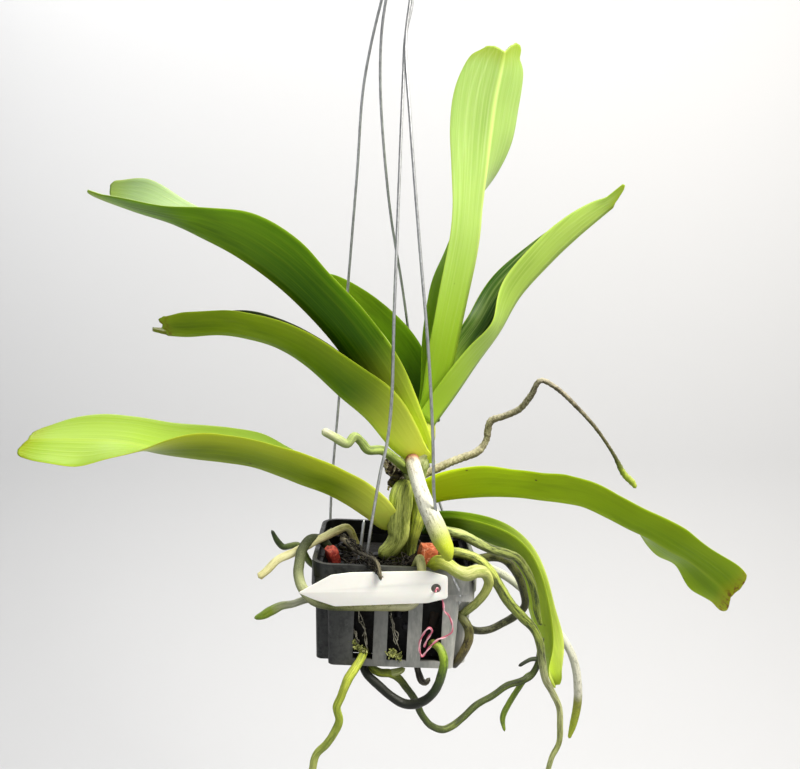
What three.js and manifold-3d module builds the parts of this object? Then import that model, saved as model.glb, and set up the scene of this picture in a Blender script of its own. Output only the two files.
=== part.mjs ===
// A foxtail orchid in a hanging slotted basket, as a three.js scene graph in millimetres, +Z up.
//
// Every size and route below is given in the basket frame: its origin is the middle of the
// basket's underside, +X to the right, +Y away from the viewer, +Z up. The finished part is
// moved so that its origin is the point where the hook bears on what it hangs from.
//
// The plant grew in place, so its pieces pass close by one another. Each piece is made whole,
// and is then cut back by a slightly grown copy of every earlier piece that it meets. That
// leaves a clearance between any two pieces, and a plain socket wherever one stands in another.

import * as THREE from 'three';
import { mergeVertices } from 'three/addons/utils/BufferGeometryUtils.js';
import Module from 'manifold-3d';

const wasm = await Module();
wasm.setup();

// Driving dimensions

const CLEARANCE = 0.35;            // between any two neighbouring pieces

const BASKET = {
  centreX: 1.7,                    // the basket hangs a little to the right of the frame's origin
  centreY: -1.2,
  drop: -1.6,
  yaw: THREE.MathUtils.degToRad(1),
  tilt: THREE.MathUtils.degToRad(-3),
  lean: THREE.MathUtils.degToRad(2.6),
  height: 48.5,
  baseHalf: 35,                    // half widths across the four panels, at the base and the top
  topHalf: 37,
  baseSpan: 29,                    // half length of each panel between the notched corners
  topSpan: 31,
  edgeRadius: 3,                   // of the panels' upright edges
  wall: 2.2,
  floor: 2.5,
  rimBottom: 36.5,
  rimHalf: 38.2,
  rimRadius: 9,
  lugBottom: 33,                   // the lugs fill the notched corners under the rim
  lugTop: 41.5,
  lugHalf: 37,
  lugRadius: 4,
  slotPitch: 15.6,
  slotShift: 2.4,                  // the slots of the front and back panels stand off centre
  slotWidth: 9.2,
  slotBottom: 3.2,
  slotTop: 33,
  floorSlotInner: 3,
  floorSlotOuter: 27,
};

const MEDIUM = {
  bottom: 3.2,
  top: 40,
  gapToWall: 0.4,
  chunks: 18,
  chunkSize: [5.5, 8.5],
  chunkLevel: [39.5, 42],
  heap: 3,                         // the middle and the back stand higher than the front
  rests: [[15.6, -18, 41], [-27, -17, 41]],  // bark that carries the brick chips
  spread: 26,
  seed: 11,
};

const HOOK = {
  wire: 1.3,                       // radius of the hook's rod
  ringRadius: 9,                   // to the rod's middle
  centre: [14, -1, 392],
  collarBottom: 343,
  collarTop: 362,
  collarRadius: 3.6,
};

const WIRE_RADIUS = 0.7;

const LEAF = { keel: 1.5, margin: 0.8, along: 14, across: 3 };

const STEM = {
  route: [
    [6, 3, 14, 5], [7.5, 2.5, 32, 5.5], [9, 2, 50, 6.5], [10, 1, 64, 7], [11.5, 0, 78, 7.2],
    [14, -1, 90, 7.5], [16.5, -1, 101, 7], [18.5, 0, 110, 5.5], [20, 1, 118, 3.5],
  ],
  sides: 10,
};

// Leaves. Each row is one station along the folded keel: x, y, z, half width, and the angles by
// which the near and the far half stand forward of the picture plane, in degrees.
// fan is +1 on the left rank and -1 on the right one. lobes are the near and far halves' extra
// reach at the tip, round takes the tip's outer corners off, and cup curls each half inwards.

const LEAVES = {
  leaf_left_lowest: {
    fan: 1, lobes: [3, 1], round: 4, cup: 8, colour: 0xa9c838,
    rows: [
      [12, -7, 61, 9, 24, -18], [0, -12, 58.5, 11, 22, -30], [-9, -19, 67, 13.5, 13, -46],
      [-18, -24, 75, 14.7, 14, -56], [-27, -28, 81.3, 15.4, 22, -61], [-37, -32, 86.4, 16.9, 27, -62],
      [-47, -35, 91.5, 17.8, 31, -59], [-58, -38, 96.4, 18.4, 37, -54], [-70, -40, 99, 18.3, 38, -53],
      [-82, -42, 101, 18.8, 44, -55], [-97, -44, 103.8, 19, 65, -59], [-112, -46, 107.8, 18.5, 92, -63],
      [-126, -47, 109, 18.3, 110, -63], [-140, -48, 109.5, 15.8, 112, -66],
      [-151.5, -48, 109.5, 10, 118, -70],
    ],
  },
  leaf_right_upper: {
    fan: -1, lobes: [-1, 8], round: 4, cup: 10, colour: 0x86a41c,
    rows: [
      [16, -2, 64, 9, 24, -22], [26, -6, 70.7, 12.8, 16, -30], [45, -12, 74.8, 14.9, 8, -38],
      [61, -17, 76.2, 13, 8, -42], [72, -21, 76, 13.2, 13, -50], [82, -24, 75.6, 14.3, 16, -56],
      [91, -27, 74.5, 13.8, 21, -62], [101, -30, 70.4, 13.4, 27, -66], [110, -33, 66.2, 13.5, 31, -72],
      [119, -35, 62.2, 13.6, 31, -105], [128, -37, 57.1, 14.5, 32, -119], [137, -38, 52.3, 12.9, 36, -123],
      [147, -39, 44.4, 14.4, 34, -142], [155, -40, 36.5, 11, 20, -138],
    ],
  },
  leaf_right_lowest: {
    fan: -1, lobes: [0, 0], round: 4, cup: 10, colour: 0x7a9c22,
    rows: [
      [18, 6, 50, 9, 24, -20], [31, 12, 47, 12, 22, -14], [51, 20, 39, 14, 28, -6],
      [64, 26, 29, 14, 32, 0], [72, 30, 15, 14, 38, 12], [78, 33, -4, 14, 48, 20],
      [83, 34, -22, 14, 66, 22], [87, 33, -36, 11, 86, 34], [92, 31, -47, 6, 90, 40],
    ],
  },
  leaf_left_middle: {
    fan: 1, lobes: [4, 16], round: 2, cup: 12, colour: 0x8fb02c,
    rows: [
      [18, -3, 88, 7, 26, -28], [11, -8, 91.5, 11.4, 20, -24], [3, -14, 98.8, 15.6, 16, -22],
      [-8, -22, 114.2, 18.5, 16, -28], [-20, -28, 126.2, 18.3, 20, -44], [-34, -31, 140, 16.2, 32, -48],
      [-47, -32, 148.4, 16, 42, -50], [-61, -32, 152.6, 14.8, 40, -44], [-73, -30, 153.9, 11.2, 24, -38],
      [-87, -26, 152.7, 10.6, 16, -54], [-97, -22, 152.7, 8.2, 14, -76],
    ],
  },
  leaf_left_upper: {
    fan: 1, lobes: [9, 3], round: 3, cup: 14, colour: 0x7ea024,
    rows: [
      [17, -1, 88, 7.5, 28, -26], [13, -6, 100, 9.4, 24, -20], [2, -14, 114, 15.5, 16, -16],
      [-11, -22, 133, 20, 12, -18], [-24, -28, 152, 19.5, 10, -24], [-37, -32, 167, 19, 10, -28],
      [-49, -34, 178, 21, 11, -30], [-63, -35, 188, 20, 18, -34], [-77, -35, 195.5, 15, 34, -41],
      [-90, -34, 201.5, 13.1, 62, -40], [-105, -32, 206, 14.4, 74, -8], [-117, -30, 210, 9.4, 80, 3],
    ],
  },
  leaf_right_top: {
    fan: -1, lobes: [12, 1], round: 2, cup: 12, colour: 0xb4cf62,
    rows: [
      [22, -4, 107, 10, 28, -16], [33, 2, 121, 14.5, 44, -6], [44, 8, 136, 16, 54, -8],
      [55, 14, 150, 17, 62, -6], [66, 20, 168, 17, 44, -20], [82, 25, 185, 15, 30, -34],
      [95, 28, 197, 12.5, 24, -40], [107, 30, 207, 9, 20, -40], [113, 30, 212, 6, 20, -40],
    ],
  },
  leaf_upright: {
    fan: -1, lobes: [2.5, 8], round: 5, cup: 12, colour: 0xb9d46c,
    rows: [
      [22, 0, 105, 9, 24, -20], [29, 2, 124, 13, 26, -8], [34, 4, 147, 17, 38, 2],
      [38, 6, 166, 18, 41, -4], [42, 8, 185, 18, 38, -34], [44, 9, 198, 18, 38, -52],
      [45, 10, 210, 18, 38, -74], [47, 11, 226, 19, 29, -106], [49, 12, 244, 20.5, 18, -128],
      [51, 12, 260, 20, 12, -134], [54, 12, 275, 16, 8, -138], [55, 12, 281, 11, 8, -138],
    ],
  },
  leaf_left_back: {
    fan: 1, lobes: [3, 3], round: 4, cup: 14, colour: 0x86aa34,
    rows: [
      [18, 6, 105, 9, 22, -22], [13, 14, 118, 14, 8, -24], [1, 28, 135, 18, 4, -30],
      [-15, 46, 151, 17, 4, -30], [-32, 60, 165, 13, 4, -30], [-42, 67, 172, 8, 4, -30],
    ],
  },
};

// Hanger wires: x, y, z of the route, from the collar down to the hooked end.

const WIRES = {
  hanger_wire_back_left: [
    [12.2, 0.6, 350], [7, 11, 330], [-2, 22, 307], [-11, 30, 271], [-15, 35, 229], [-20, 39, 177],
    [-26, 41, 112], [-30, 41, 70], [-31, 37, 50], [-31, 34.5, 38], [-30.6, 33.6, 29], [-29, 32, 26.6],
    [-27, 31, 28],
  ],
  hanger_wire_back_right: [
    [15.8, 0.8, 350], [9, 10, 330], [0, 20, 306], [-3, 26, 276], [1, 34, 215], [8, 40, 170],
    [15, 43, 120], [22, 43, 76], [29, 40, 52], [34, 36, 40], [35, 34, 30], [33.6, 33, 24],
    [32, 32, 23], [30, 31, 24.4],
  ],
  hanger_wire_front_left: [
    [12.4, -2.8, 350], [12, -8, 320], [12, -10, 297], [9, -12, 282], [8, -15, 263], [6, -24, 213],
    [4, -36, 160], [3, -40, 126], [1, -40, 107], [-2, -37, 93], [-6, -32, 69], [-9, -29, 50],
    [-11, -27, 40], [-12.5, -26.5, 35], [-14, -26, 40], [-12, -25.5, 52], [-10, -25, 67],
  ],
  hanger_wire_front_right: [
    [15.8, -2.6, 350], [14, -8, 320], [11, -11, 297], [9, -13, 279], [11, -18, 246], [15, -25, 194],
    [19, -33, 146], [21, -37, 108], [22, -38, 79], [25, -39, 63], [28, -40, 51], [31, -39, 43.5],
    [33.6, -36, 37], [34, -34, 31], [33, -32, 28.6], [31, -30.6, 29.6],
  ],
};

// Roots: x, y, z and radius along each root. A branch grows from its own root.

const ROOTS = {
  root_thick_front: {
    colour: 0xdfe3cf,
    route: [
      [12, -5, 93, 3], [13, -14, 90, 3.5], [16, -24, 81, 3.6], [19, -33, 75, 3.9], [22, -40, 70, 4.2],
      [25, -44, 64, 4.2], [27, -46, 60, 3.4], [28, -46, 55, 1.4],
    ],
  },
  root_stump_front: {
    colour: 0x9db356,
    route: [
      [9.5, -6, 79, 4.4], [7.2, -12, 75.5, 5.5], [6.6, -14, 69, 5.7], [6.1, -15, 61.5, 5.4],
      [5.4, -15.5, 54.5, 5], [2, -16, 49.5, 4.4], [-3.4, -16, 45.5, 3.4],
    ],
  },
  root_stump_back: {
    colour: 0x8ea04a,
    route: [
      [11.5, -2, 77, 3.2], [14.8, -8, 75, 3.5], [16.2, -9.5, 69, 3.5], [15.4, -10, 62, 3.3],
      [13.6, -10, 55, 2.9], [12.4, -9, 48, 2.5], [12, -9, 42, 2.2],
    ],
  },
  root_cut_left: {
    colour: 0x9fb45c,
    route: [
      [11, -4, 84, 2.2], [8, -12, 89, 2.3], [3, -18, 95, 2.3], [-2, -22, 99, 2.2], [-8, -25, 100, 2.2],
      [-11, -26, 104, 2.1], [-14, -28, 107, 2.1], [-17, -30, 104, 2], [-22, -31, 107, 2.1],
      [-28, -33, 111, 1.9],
    ],
  },
  root_wiry_right: {
    colour: 0x93906c,
    route: [
      [14, 2, 79, 2], [23, 3, 83, 2], [32, 4, 87, 2], [45, 5, 92, 1.9], [49, 6, 97, 1.7],
      [51, 5, 107, 1.7], [57, 3, 110, 1.6], [64, 0, 114, 1.6], [69, -3, 121, 1.5], [73, -6, 129, 1.3],
      [80, -6, 126, 1.2], [90, -7, 117, 1], [100, -8, 106, 0.9], [109, -8, 93, 0.9],
      [114, -8, 84, 1.6], [118, -8, 80, 1.5], [120, -8, 77, 0.9],
    ],
  },
  root_over_rim_right: {
    colour: 0x7f9240,
    route: [
      [11, -2, 62, 2], [20, -9, 61, 2.2], [28, -14, 58, 2.3], [36, -14, 56, 2.3], [44, -12, 51, 2.3],
      [51, -10, 47, 2.3], [59, -8, 44, 2.2], [64, -6, 41, 2.2], [69, -5, 34, 2.1], [72, -4, 27, 2],
      [74, -4, 19, 1.9], [75, -4, 12, 1.8], [77, -4, 5, 1.1],
    ],
  },
  root_long_right: {
    colour: 0xa9c052,
    route: [
      [22, -14, 43, 2.2], [26, -18, 47, 2.3], [31, -23.5, 50.6, 2.4], [36, -26, 50.8, 2.4],
      [41, -26, 49, 2.4], [45.4, -24, 45.2, 2.4], [49.5, -21, 39.5, 2.5], [54.5, -17, 30.4, 2.5],
      [59.5, -14, 21.5, 2.5], [66, -12, 13.5, 2.4], [72, -12, 7, 2.2], [75, -12, 0, 2.1],
      [77, -10, -11, 2], [79, -9, -21, 1.9], [83, -7, -29, 1.7], [87, -6, -38, 1.6], [88, -5, -48, 1.6],
      [88, -4, -59, 1.5], [85, -3, -67, 1.5], [83, -2, -76, 1.4], [79, -2, -86, 0.7],
    ],
  },
  root_dark_loop_right: {
    colour: 0x4d5c34,
    route: [
      [28, 12, 25, 2.2], [37, 13, 28, 2.3], [44, 13, 32, 2.3], [52, 12, 34.5, 2.3], [60, 10, 34, 2.3],
      [67, 9, 26, 2.2], [70, 9, 17, 2.1], [71, 9, 10, 2], [69, 10, 6, 2], [65, 11, 2, 2],
      [60, 11, -1, 2], [53, 10, -4, 2], [45, 7, -3, 2], [39, 3, 3, 2], [32, 1, 10, 1.8],
    ],
  },
  root_hanging_back: {
    colour: 0xc9d2a4,
    route: [
      [28, 18, 17, 2.2], [37, 24, 19, 2.3], [46, 36, 20, 2.3], [60, 47, 13, 2.3], [78, 54, -2, 2.3],
      [93, 53, -20, 2.3], [103, 50, -34, 2.3], [107, 49, -44, 2.4], [109, 48, -57, 2.5],
      [109, 48, -70, 2.4], [107, 48, -82, 2], [105, 48, -90, 0.9],
    ],
  },
  root_under_basket: {
    colour: 0x5f7a2c,
    route: [
      [-9, -18, 8, 1.8], [-9, -23, -1, 1.9], [-7, -27, -5, 2], [-3, -29, -6.5, 2], [2, -29, -7, 1.9],
      [6, -28, -10, 1.8], [10, -27, -16, 1.7], [14, -25, -23, 1.7], [17, -22, -32, 1.7],
      [22, -19, -40, 1.7], [28, -16, -44, 1.8], [33, -14, -43, 1.8], [38, -12, -40, 1.7],
      [45, -9, -35, 1.7], [53, -6, -32, 1.7], [61, -3, -28, 1.7], [69, 0, -27, 1.7], [74, 2, -25, 1.7],
      [77, 2, -19, 1.6], [78, 2, -12, 1.5], [79, 1, -4, 1],
    ],
    branches: [
      [[2, -29, -7, 1.8], [6, -29, -6, 1.7], [9, -28, -5, 1]],
      [[75, 2, -24, 1.5], [72, 4, -27, 1.5], [68, 5, -34, 1.5], [63, 5, -43, 1.5], [60, 4, -50, 1.5],
        [61, 3, -57, 0.7]],
      [[77, 2, -16, 1.2], [73, 1, -16, 1.1], [67, 0, -19, 0.8]],
    ],
  },
  root_loop_front: {
    colour: 0x35452a,
    route: [
      [-10, -22, 6, 1.9], [-10.6, -28, -3.4, 2], [-9, -31, -6, 2], [-3.7, -33, -10.5, 2.1],
      [2.4, -34, -15.6, 2.1], [8.5, -35, -18.8, 2.2], [14, -37, -17.8, 2.2], [19.5, -39, -13.7, 2.1],
      [23.5, -41, -7, 2.1], [25.6, -43, 1, 2], [26.4, -43.6, 7.2, 2], [25, -42, 11.6, 1.9],
      [22.4, -38.4, 12.6, 1.8], [21, -30, 8, 1.7],
    ],
  },
  root_hanging_left: {
    colour: 0xa2b83c,
    route: [
      [-9, -26, 6, 1.8], [-10, -32, 5.8, 1.9], [-11.5, -38.4, 5, 2], [-14, -42.5, 2.6, 2.1],
      [-16.5, -45, -0.4, 2.1], [-18, -46, -3.6, 2], [-20, -46, -9, 1.9], [-22, -46, -14, 1.9],
      [-21, -45, -21, 1.9], [-23, -44, -27, 1.9], [-27, -43, -34, 1.8], [-32, -42, -40, 1.8],
      [-34, -41, -48, 1.7], [-36, -40, -59, 0.8],
    ],
  },
  root_straw_left: {
    colour: 0xc9c06a,
    route: [
      [-12, -6, 40, 1.6], [-15, -8, 50, 1.7], [-19, -10, 58, 1.9], [-24, -12, 57, 2], [-31, -14, 54, 2],
      [-38, -16, 51, 2], [-45, -18, 48, 2], [-51, -20, 45.5, 2], [-56, -22, 41, 1.9],
      [-60, -23, 38, 1.8],
    ],
  },
  root_pointed_left: {
    colour: 0x3d4a26,
    route: [
      [-26, 13, 24, 1.5], [-34, 14, 27, 1.6], [-40, 14, 31, 1.6], [-43, 13, 37, 1.6], [-46, 12, 41, 1.6],
      [-50, 12, 40.5, 1.6], [-53, 12, 40, 1.6], [-56, 12, 43, 1.5], [-59, 12, 49, 0.7],
    ],
  },
  root_short_left: {
    colour: 0xb9c86a,
    route: [
      [-24, -3, 20, 1.7], [-32, -4, 20, 1.8], [-41, -8, 20, 1.8], [-46, -10, 19, 1.8], [-51, -12, 19, 2],
      [-56, -13, 17, 2.3], [-60, -14, 15, 2], [-64, -15, 14, 0.8],
    ],
  },
  root_around_rim: {
    colour: 0xb6bd84,
    route: [
      [13, -27, 43, 2], [14.6, -32, 49, 2.1], [15.6, -36, 52.2, 2.1], [16.2, -39.4, 49.6, 2.1],
      [16, -40, 43, 2.1], [14.6, -39.4, 35.5, 2.2], [11, -38.8, 31.6, 2.3], [4, -38.6, 31.2, 2.4],
      [-6, -38.8, 31.3, 2.4], [-16, -39, 31.5, 2.4], [-25, -39.6, 32, 2.4], [-32, -40.4, 34.5, 2.4],
      [-37, -38.6, 39, 2.4], [-39.8, -32, 43, 2.4], [-40.2, -25, 46.5, 2.4], [-39.4, -19, 50.5, 2.4],
      [-36, -15, 53.8, 2.4], [-31, -12, 52.4, 2.3], [-27, -10, 46, 2.2], [-25, -9, 39, 2],
    ],
  },
  dead_root_over_rim: {
    colour: 0x3b3226,
    route: [
      [-17, -3, 40, 1.2], [-20, -5, 51, 1.3], [-20.6, -15, 54.4, 1.3], [-16, -23, 53.2, 1.3],
      [-10, -31, 52, 1.2], [-5.6, -37, 52.6, 1.1], [-3.4, -42, 52, 1], [-2.4, -45, 49, 0.9],
      [-1.8, -45.8, 46.2, 0.6],
    ],
  },
  root_over_lug_right: {
    colour: 0xb8c462,
    route: [
      [19.5, -28, 42, 2.2], [21.5, -33, 47.5, 2.8], [24, -37.4, 51.4, 3.2], [28, -39.6, 51, 3],
      [32, -41, 48.6, 2.9], [36.4, -41.6, 47.4, 3.1], [41, -40.4, 48.2, 2.9], [45, -36.6, 45.6, 2.5],
      [47, -34, 40.5, 2.3], [45.6, -33, 35.2, 2.2], [42, -32, 29.8, 2.1], [38, -31, 25.6, 2],
      [34.6, -28.6, 21.4, 1.8],
    ],
  },
  root_hugging_right: {
    colour: 0x7d8248,
    route: [
      [33, -26, 23, 1.8], [35.6, -31.4, 21.6, 2], [38, -33.4, 18, 2.1], [38.4, -33.6, 13, 2.2],
      [36.4, -33.4, 7.2, 2.1], [34, -32.4, 2.2, 1.9], [31.6, -29, -3.4, 1.6],
    ],
  },
  dead_root_under_basket: {
    colour: 0x2c2620,
    route: [
      [14, -27, 4, 1.2], [14.6, -29.4, -1.6, 1.4], [15.2, -31, -5.6, 1.6], [16.6, -32, -9, 1.7],
      [18.6, -32, -10, 1.5], [20.6, -32, -7.6, 0.9],
    ],
  },
};

// The tag hangs against the front of the basket, on a turned plane of its own.

const TAG = {
  thickness: 0.8,
  centreX: 1.2,
  yaw: THREE.MathUtils.degToRad(2),
  plane: -43.6,
  outline: [
    [-41.2, 40], [-26.6, 48], [-18.2, 49], [16.4, 49.3], [25.1, 46.6], [25.2, 36.5], [16.2, 34.3],
    [-25.1, 33.4], [-34.6, 36.9],
  ],
  holeCentre: [19.9, 41.1],
  holeRadius: 2.2,
};

// A stiff, wire-cored twist tie runs from the tag's hole and ends in loose loops.

const TIE = {
  radius: 0.4,
  colour: 0xb8475a,
  route: [
    [22.2, -45.4, 40.4], [23, -43.5, 41.5], [24.2, -41, 39], [26, -41.6, 33.5], [26.4, -41.6, 30],
    [28.6, -41, 27.3], [30.1, -40.5, 23.3], [30, -39.8, 19.2], [27.4, -39.6, 16.8],
    [23.2, -41, 15.6], [19.3, -41.2, 11.5], [16.6, -41.4, 8.2], [15.2, -42, 12.6], [16.6, -42.5, 18.6],
    [19.6, -42.6, 22.4], [21, -42, 20.8], [18.8, -41.4, 16.2], [17.4, -41, 12.4],
  ],
};

const BRICK_CHIPS = {
  brick_chip_orange: { centre: [19.4, -20, 47.6], size: [8.6, 7.6, 11.4], turn: [0.1, 0.18, 0.2], colour: 0xcf7a4a },
  brick_chip_red: { centre: [-25.2, -19, 47.2], size: [5.4, 6, 9.6], turn: [0.1, -0.3, 0.5], colour: 0xb5463a },
};

const DEAD_TISSUE = {
  colour: 0x4a3c30,
  lumps: [
    [[2, -6.5, 86], 3], [[5, -7.5, 82.5], 3.2], [[0.5, -5.5, 88.5], 2.2], [[6, -7, 86], 2.6],
    [[3, -7.5, 79.5], 2.4],
  ],
};

const COLOURS = {
  basket: 0x3e4244,
  medium: 0x2a2622,
  stem: 0xb4bf66,
  wire: 0xb9babb,
  hook: 0xa9abad,
  tag: 0xf4f2e6,
};

// Small helpers

function seededRandom(seed) {
  let state = seed;
  return () => {
    state = (state * 1664525 + 1013904223) % 4294967296;
    return state / 4294967296;
  };
}

function solidFromArrays(positions, indices) {
  return new wasm.Manifold(new wasm.Mesh({
    numProp: 3,
    vertProperties: new Float32Array(positions),
    triVerts: new Uint32Array(indices),
  }));
}

function solidFromGeometry(geometry, matrix = new THREE.Matrix4()) {
  const bare = geometry.clone().applyMatrix4(matrix);
  bare.deleteAttribute('normal');
  bare.deleteAttribute('uv');
  const merged = mergeVertices(bare, 1e-4);
  const indices = [];
  for (let i = 0; i < merged.index.count; i += 3) {
    const [a, b, c] = [0, 1, 2].map((k) => merged.index.getX(i + k));
    if (a !== b && b !== c && c !== a) indices.push(a, b, c);
  }
  return solidFromArrays(merged.attributes.position.array, indices);
}

function geometryFromSolid(solid) {
  const mesh = solid.getMesh();
  const geometry = new THREE.BufferGeometry();
  geometry.setAttribute('position', new THREE.BufferAttribute(new Float32Array(mesh.vertProperties), 3));
  geometry.setIndex(new THREE.BufferAttribute(new Uint32Array(mesh.triVerts), 1));
  geometry.computeVertexNormals();
  return geometry;
}

function largestBody(solid) {
  return solid.decompose().reduce((best, body) => (body.volume() > best.volume() ? body : best));
}

function boxesMeet(a, b) {
  const boxA = a.boundingBox();
  const boxB = b.boundingBox();
  return [0, 1, 2].every((k) => boxA.min[k] < boxB.max[k] && boxB.min[k] < boxA.max[k]);
}

// Closed skins

// Stacked loops of equal length, closed by a fan at each end.
function loftedSolid(loops) {
  const count = loops[0].length;
  const positions = loops.flat().flat();
  const indices = [];
  for (let level = 0; level + 1 < loops.length; level += 1) {
    for (let k = 0; k < count; k += 1) {
      const next = (k + 1) % count;
      const a = level * count + k;
      const b = level * count + next;
      indices.push(a, b, b + count, a, b + count, a + count);
    }
  }
  const last = (loops.length - 1) * count;
  for (let k = 1; k + 1 < count; k += 1) {
    indices.push(0, k + 1, k);
    indices.push(last, last + k, last + k + 1);
  }
  return solidFromArrays(positions, indices);
}

function roundedLoop(halfX, halfY, radius, z, perCorner = 3) {
  const loop = [];
  [[1, 1], [-1, 1], [-1, -1], [1, -1]].forEach(([sx, sy], corner) => {
    for (let k = 0; k <= perCorner; k += 1) {
      const angle = (corner + k / perCorner) * (Math.PI / 2);
      loop.push([
        sx * (halfX - radius) + radius * Math.cos(angle),
        sy * (halfY - radius) + radius * Math.sin(angle),
        z,
      ]);
    }
  });
  return loop;
}

function roundedSquare(half, radius, from, to) {
  return loftedSolid([from, to].map((z) => roundedLoop(half, half, radius, z)));
}

// A rod swept along a smooth route whose radius follows the stations, closed by domed ends.
// The rings follow the stations, so tight bends with close stations get more of them.
function taperedRod(stations, { sides = 6, step = 5, grow = 0, dome = 0.6 } = {}) {
  const curve = new THREE.CatmullRomCurve3(
    stations.map(([x, y, z]) => new THREE.Vector3(x, y, z)), false, 'centripetal',
  );
  const spans = stations.length - 1;
  const knots = [];
  for (let span = 0; span < spans; span += 1) {
    const length = curve.getPoint(span / spans).distanceTo(curve.getPoint((span + 1) / spans));
    const pieces = Math.max(1, Math.round(length / step));
    for (let k = 0; k < pieces; k += 1) knots.push(span + k / pieces);
  }
  knots.push(spans);
  const radiusAt = (knot) => {
    const span = Math.min(Math.floor(knot), spans - 1);
    return THREE.MathUtils.lerp(stations[span][3], stations[span + 1][3], knot - span) + grow;
  };
  const tangents = knots.map((knot) => curve.getTangent(knot / spans));
  const normal = new THREE.Vector3(0, 1, 0).cross(tangents[0]);
  if (normal.lengthSq() < 0.01) normal.set(1, 0, 0).cross(tangents[0]);
  const positions = [];
  const indices = [];
  knots.forEach((knot, i) => {
    normal.addScaledVector(tangents[i], -normal.dot(tangents[i])).normalize();
    const binormal = new THREE.Vector3().crossVectors(tangents[i], normal);
    const centre = curve.getPoint(knot / spans);
    for (let k = 0; k < sides; k += 1) {
      const angle = (k / sides) * 2 * Math.PI;
      const point = centre.clone()
        .addScaledVector(normal, radiusAt(knot) * Math.cos(angle))
        .addScaledVector(binormal, radiusAt(knot) * Math.sin(angle));
      positions.push(...point.toArray());
    }
    if (i === 0) return;
    for (let k = 0; k < sides; k += 1) {
      const a = (i - 1) * sides + k;
      const b = (i - 1) * sides + ((k + 1) % sides);
      indices.push(a, b, b + sides, a, b + sides, a + sides);
    }
  });
  [[0, -1], [knots.length - 1, 1]].forEach(([ring, direction]) => {
    const tip = curve.getPoint(knots[ring] / spans)
      .addScaledVector(tangents[ring], direction * dome * radiusAt(knots[ring]));
    const apex = positions.length / 3;
    positions.push(...tip.toArray());
    for (let k = 0; k < sides; k += 1) {
      const a = ring * sides + k;
      const b = ring * sides + ((k + 1) % sides);
      indices.push(...(direction < 0 ? [apex, b, a] : [apex, a, b]));
    }
  });
  return solidFromArrays(positions, indices);
}

// Leaf blades

// The row of numbers at a distance along the keel, smoothly between the stations.
function keelSampler(rows) {
  const samplesPerSpan = 16;
  const curve = rows.map((row) => [...row]);
  const before = curve[0].map((value, k) => 2 * value - curve[1][k]);
  const after = curve.at(-1).map((value, k) => 2 * value - curve.at(-2)[k]);
  const knots = [before, ...curve, after];
  const fine = [];
  for (let i = 1; i + 2 < knots.length; i += 1) {
    for (let s = 0; s < samplesPerSpan; s += 1) {
      const t = s / samplesPerSpan;
      fine.push(knots[i].map((p1, k) => {
        const [p0, p2, p3] = [knots[i - 1][k], knots[i + 1][k], knots[i + 2][k]];
        return p1 + 0.5 * t * (p2 - p0 + t * (2 * p0 - 5 * p1 + 4 * p2 - p3 + t * (3 * p1 - p0 - 3 * p2 + p3)));
      }));
    }
  }
  fine.push(curve.at(-1));
  const distance = [0];
  for (let i = 1; i < fine.length; i += 1) {
    const [a, b] = [fine[i - 1], fine[i]];
    distance.push(distance[i - 1] + Math.hypot(b[0] - a[0], b[1] - a[1], b[2] - a[2]));
  }
  const length = distance.at(-1);
  const at = (s) => {
    const clamped = Math.min(Math.max(s, 0), length);
    let i = distance.findIndex((d) => d >= clamped);
    i = Math.max(1, i);
    const t = (clamped - distance[i - 1]) / (distance[i] - distance[i - 1]);
    const row = fine[i].map((value, k) => THREE.MathUtils.lerp(fine[i - 1][k], value, t));
    const over = s - clamped;
    const slope = (k) => (fine[i][k] - fine[i - 1][k]) / (distance[i] - distance[i - 1]);
    return row.map((value, k) => (k < 3 ? value + over * slope(k) : value));
  };
  return { at, length };
}

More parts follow.
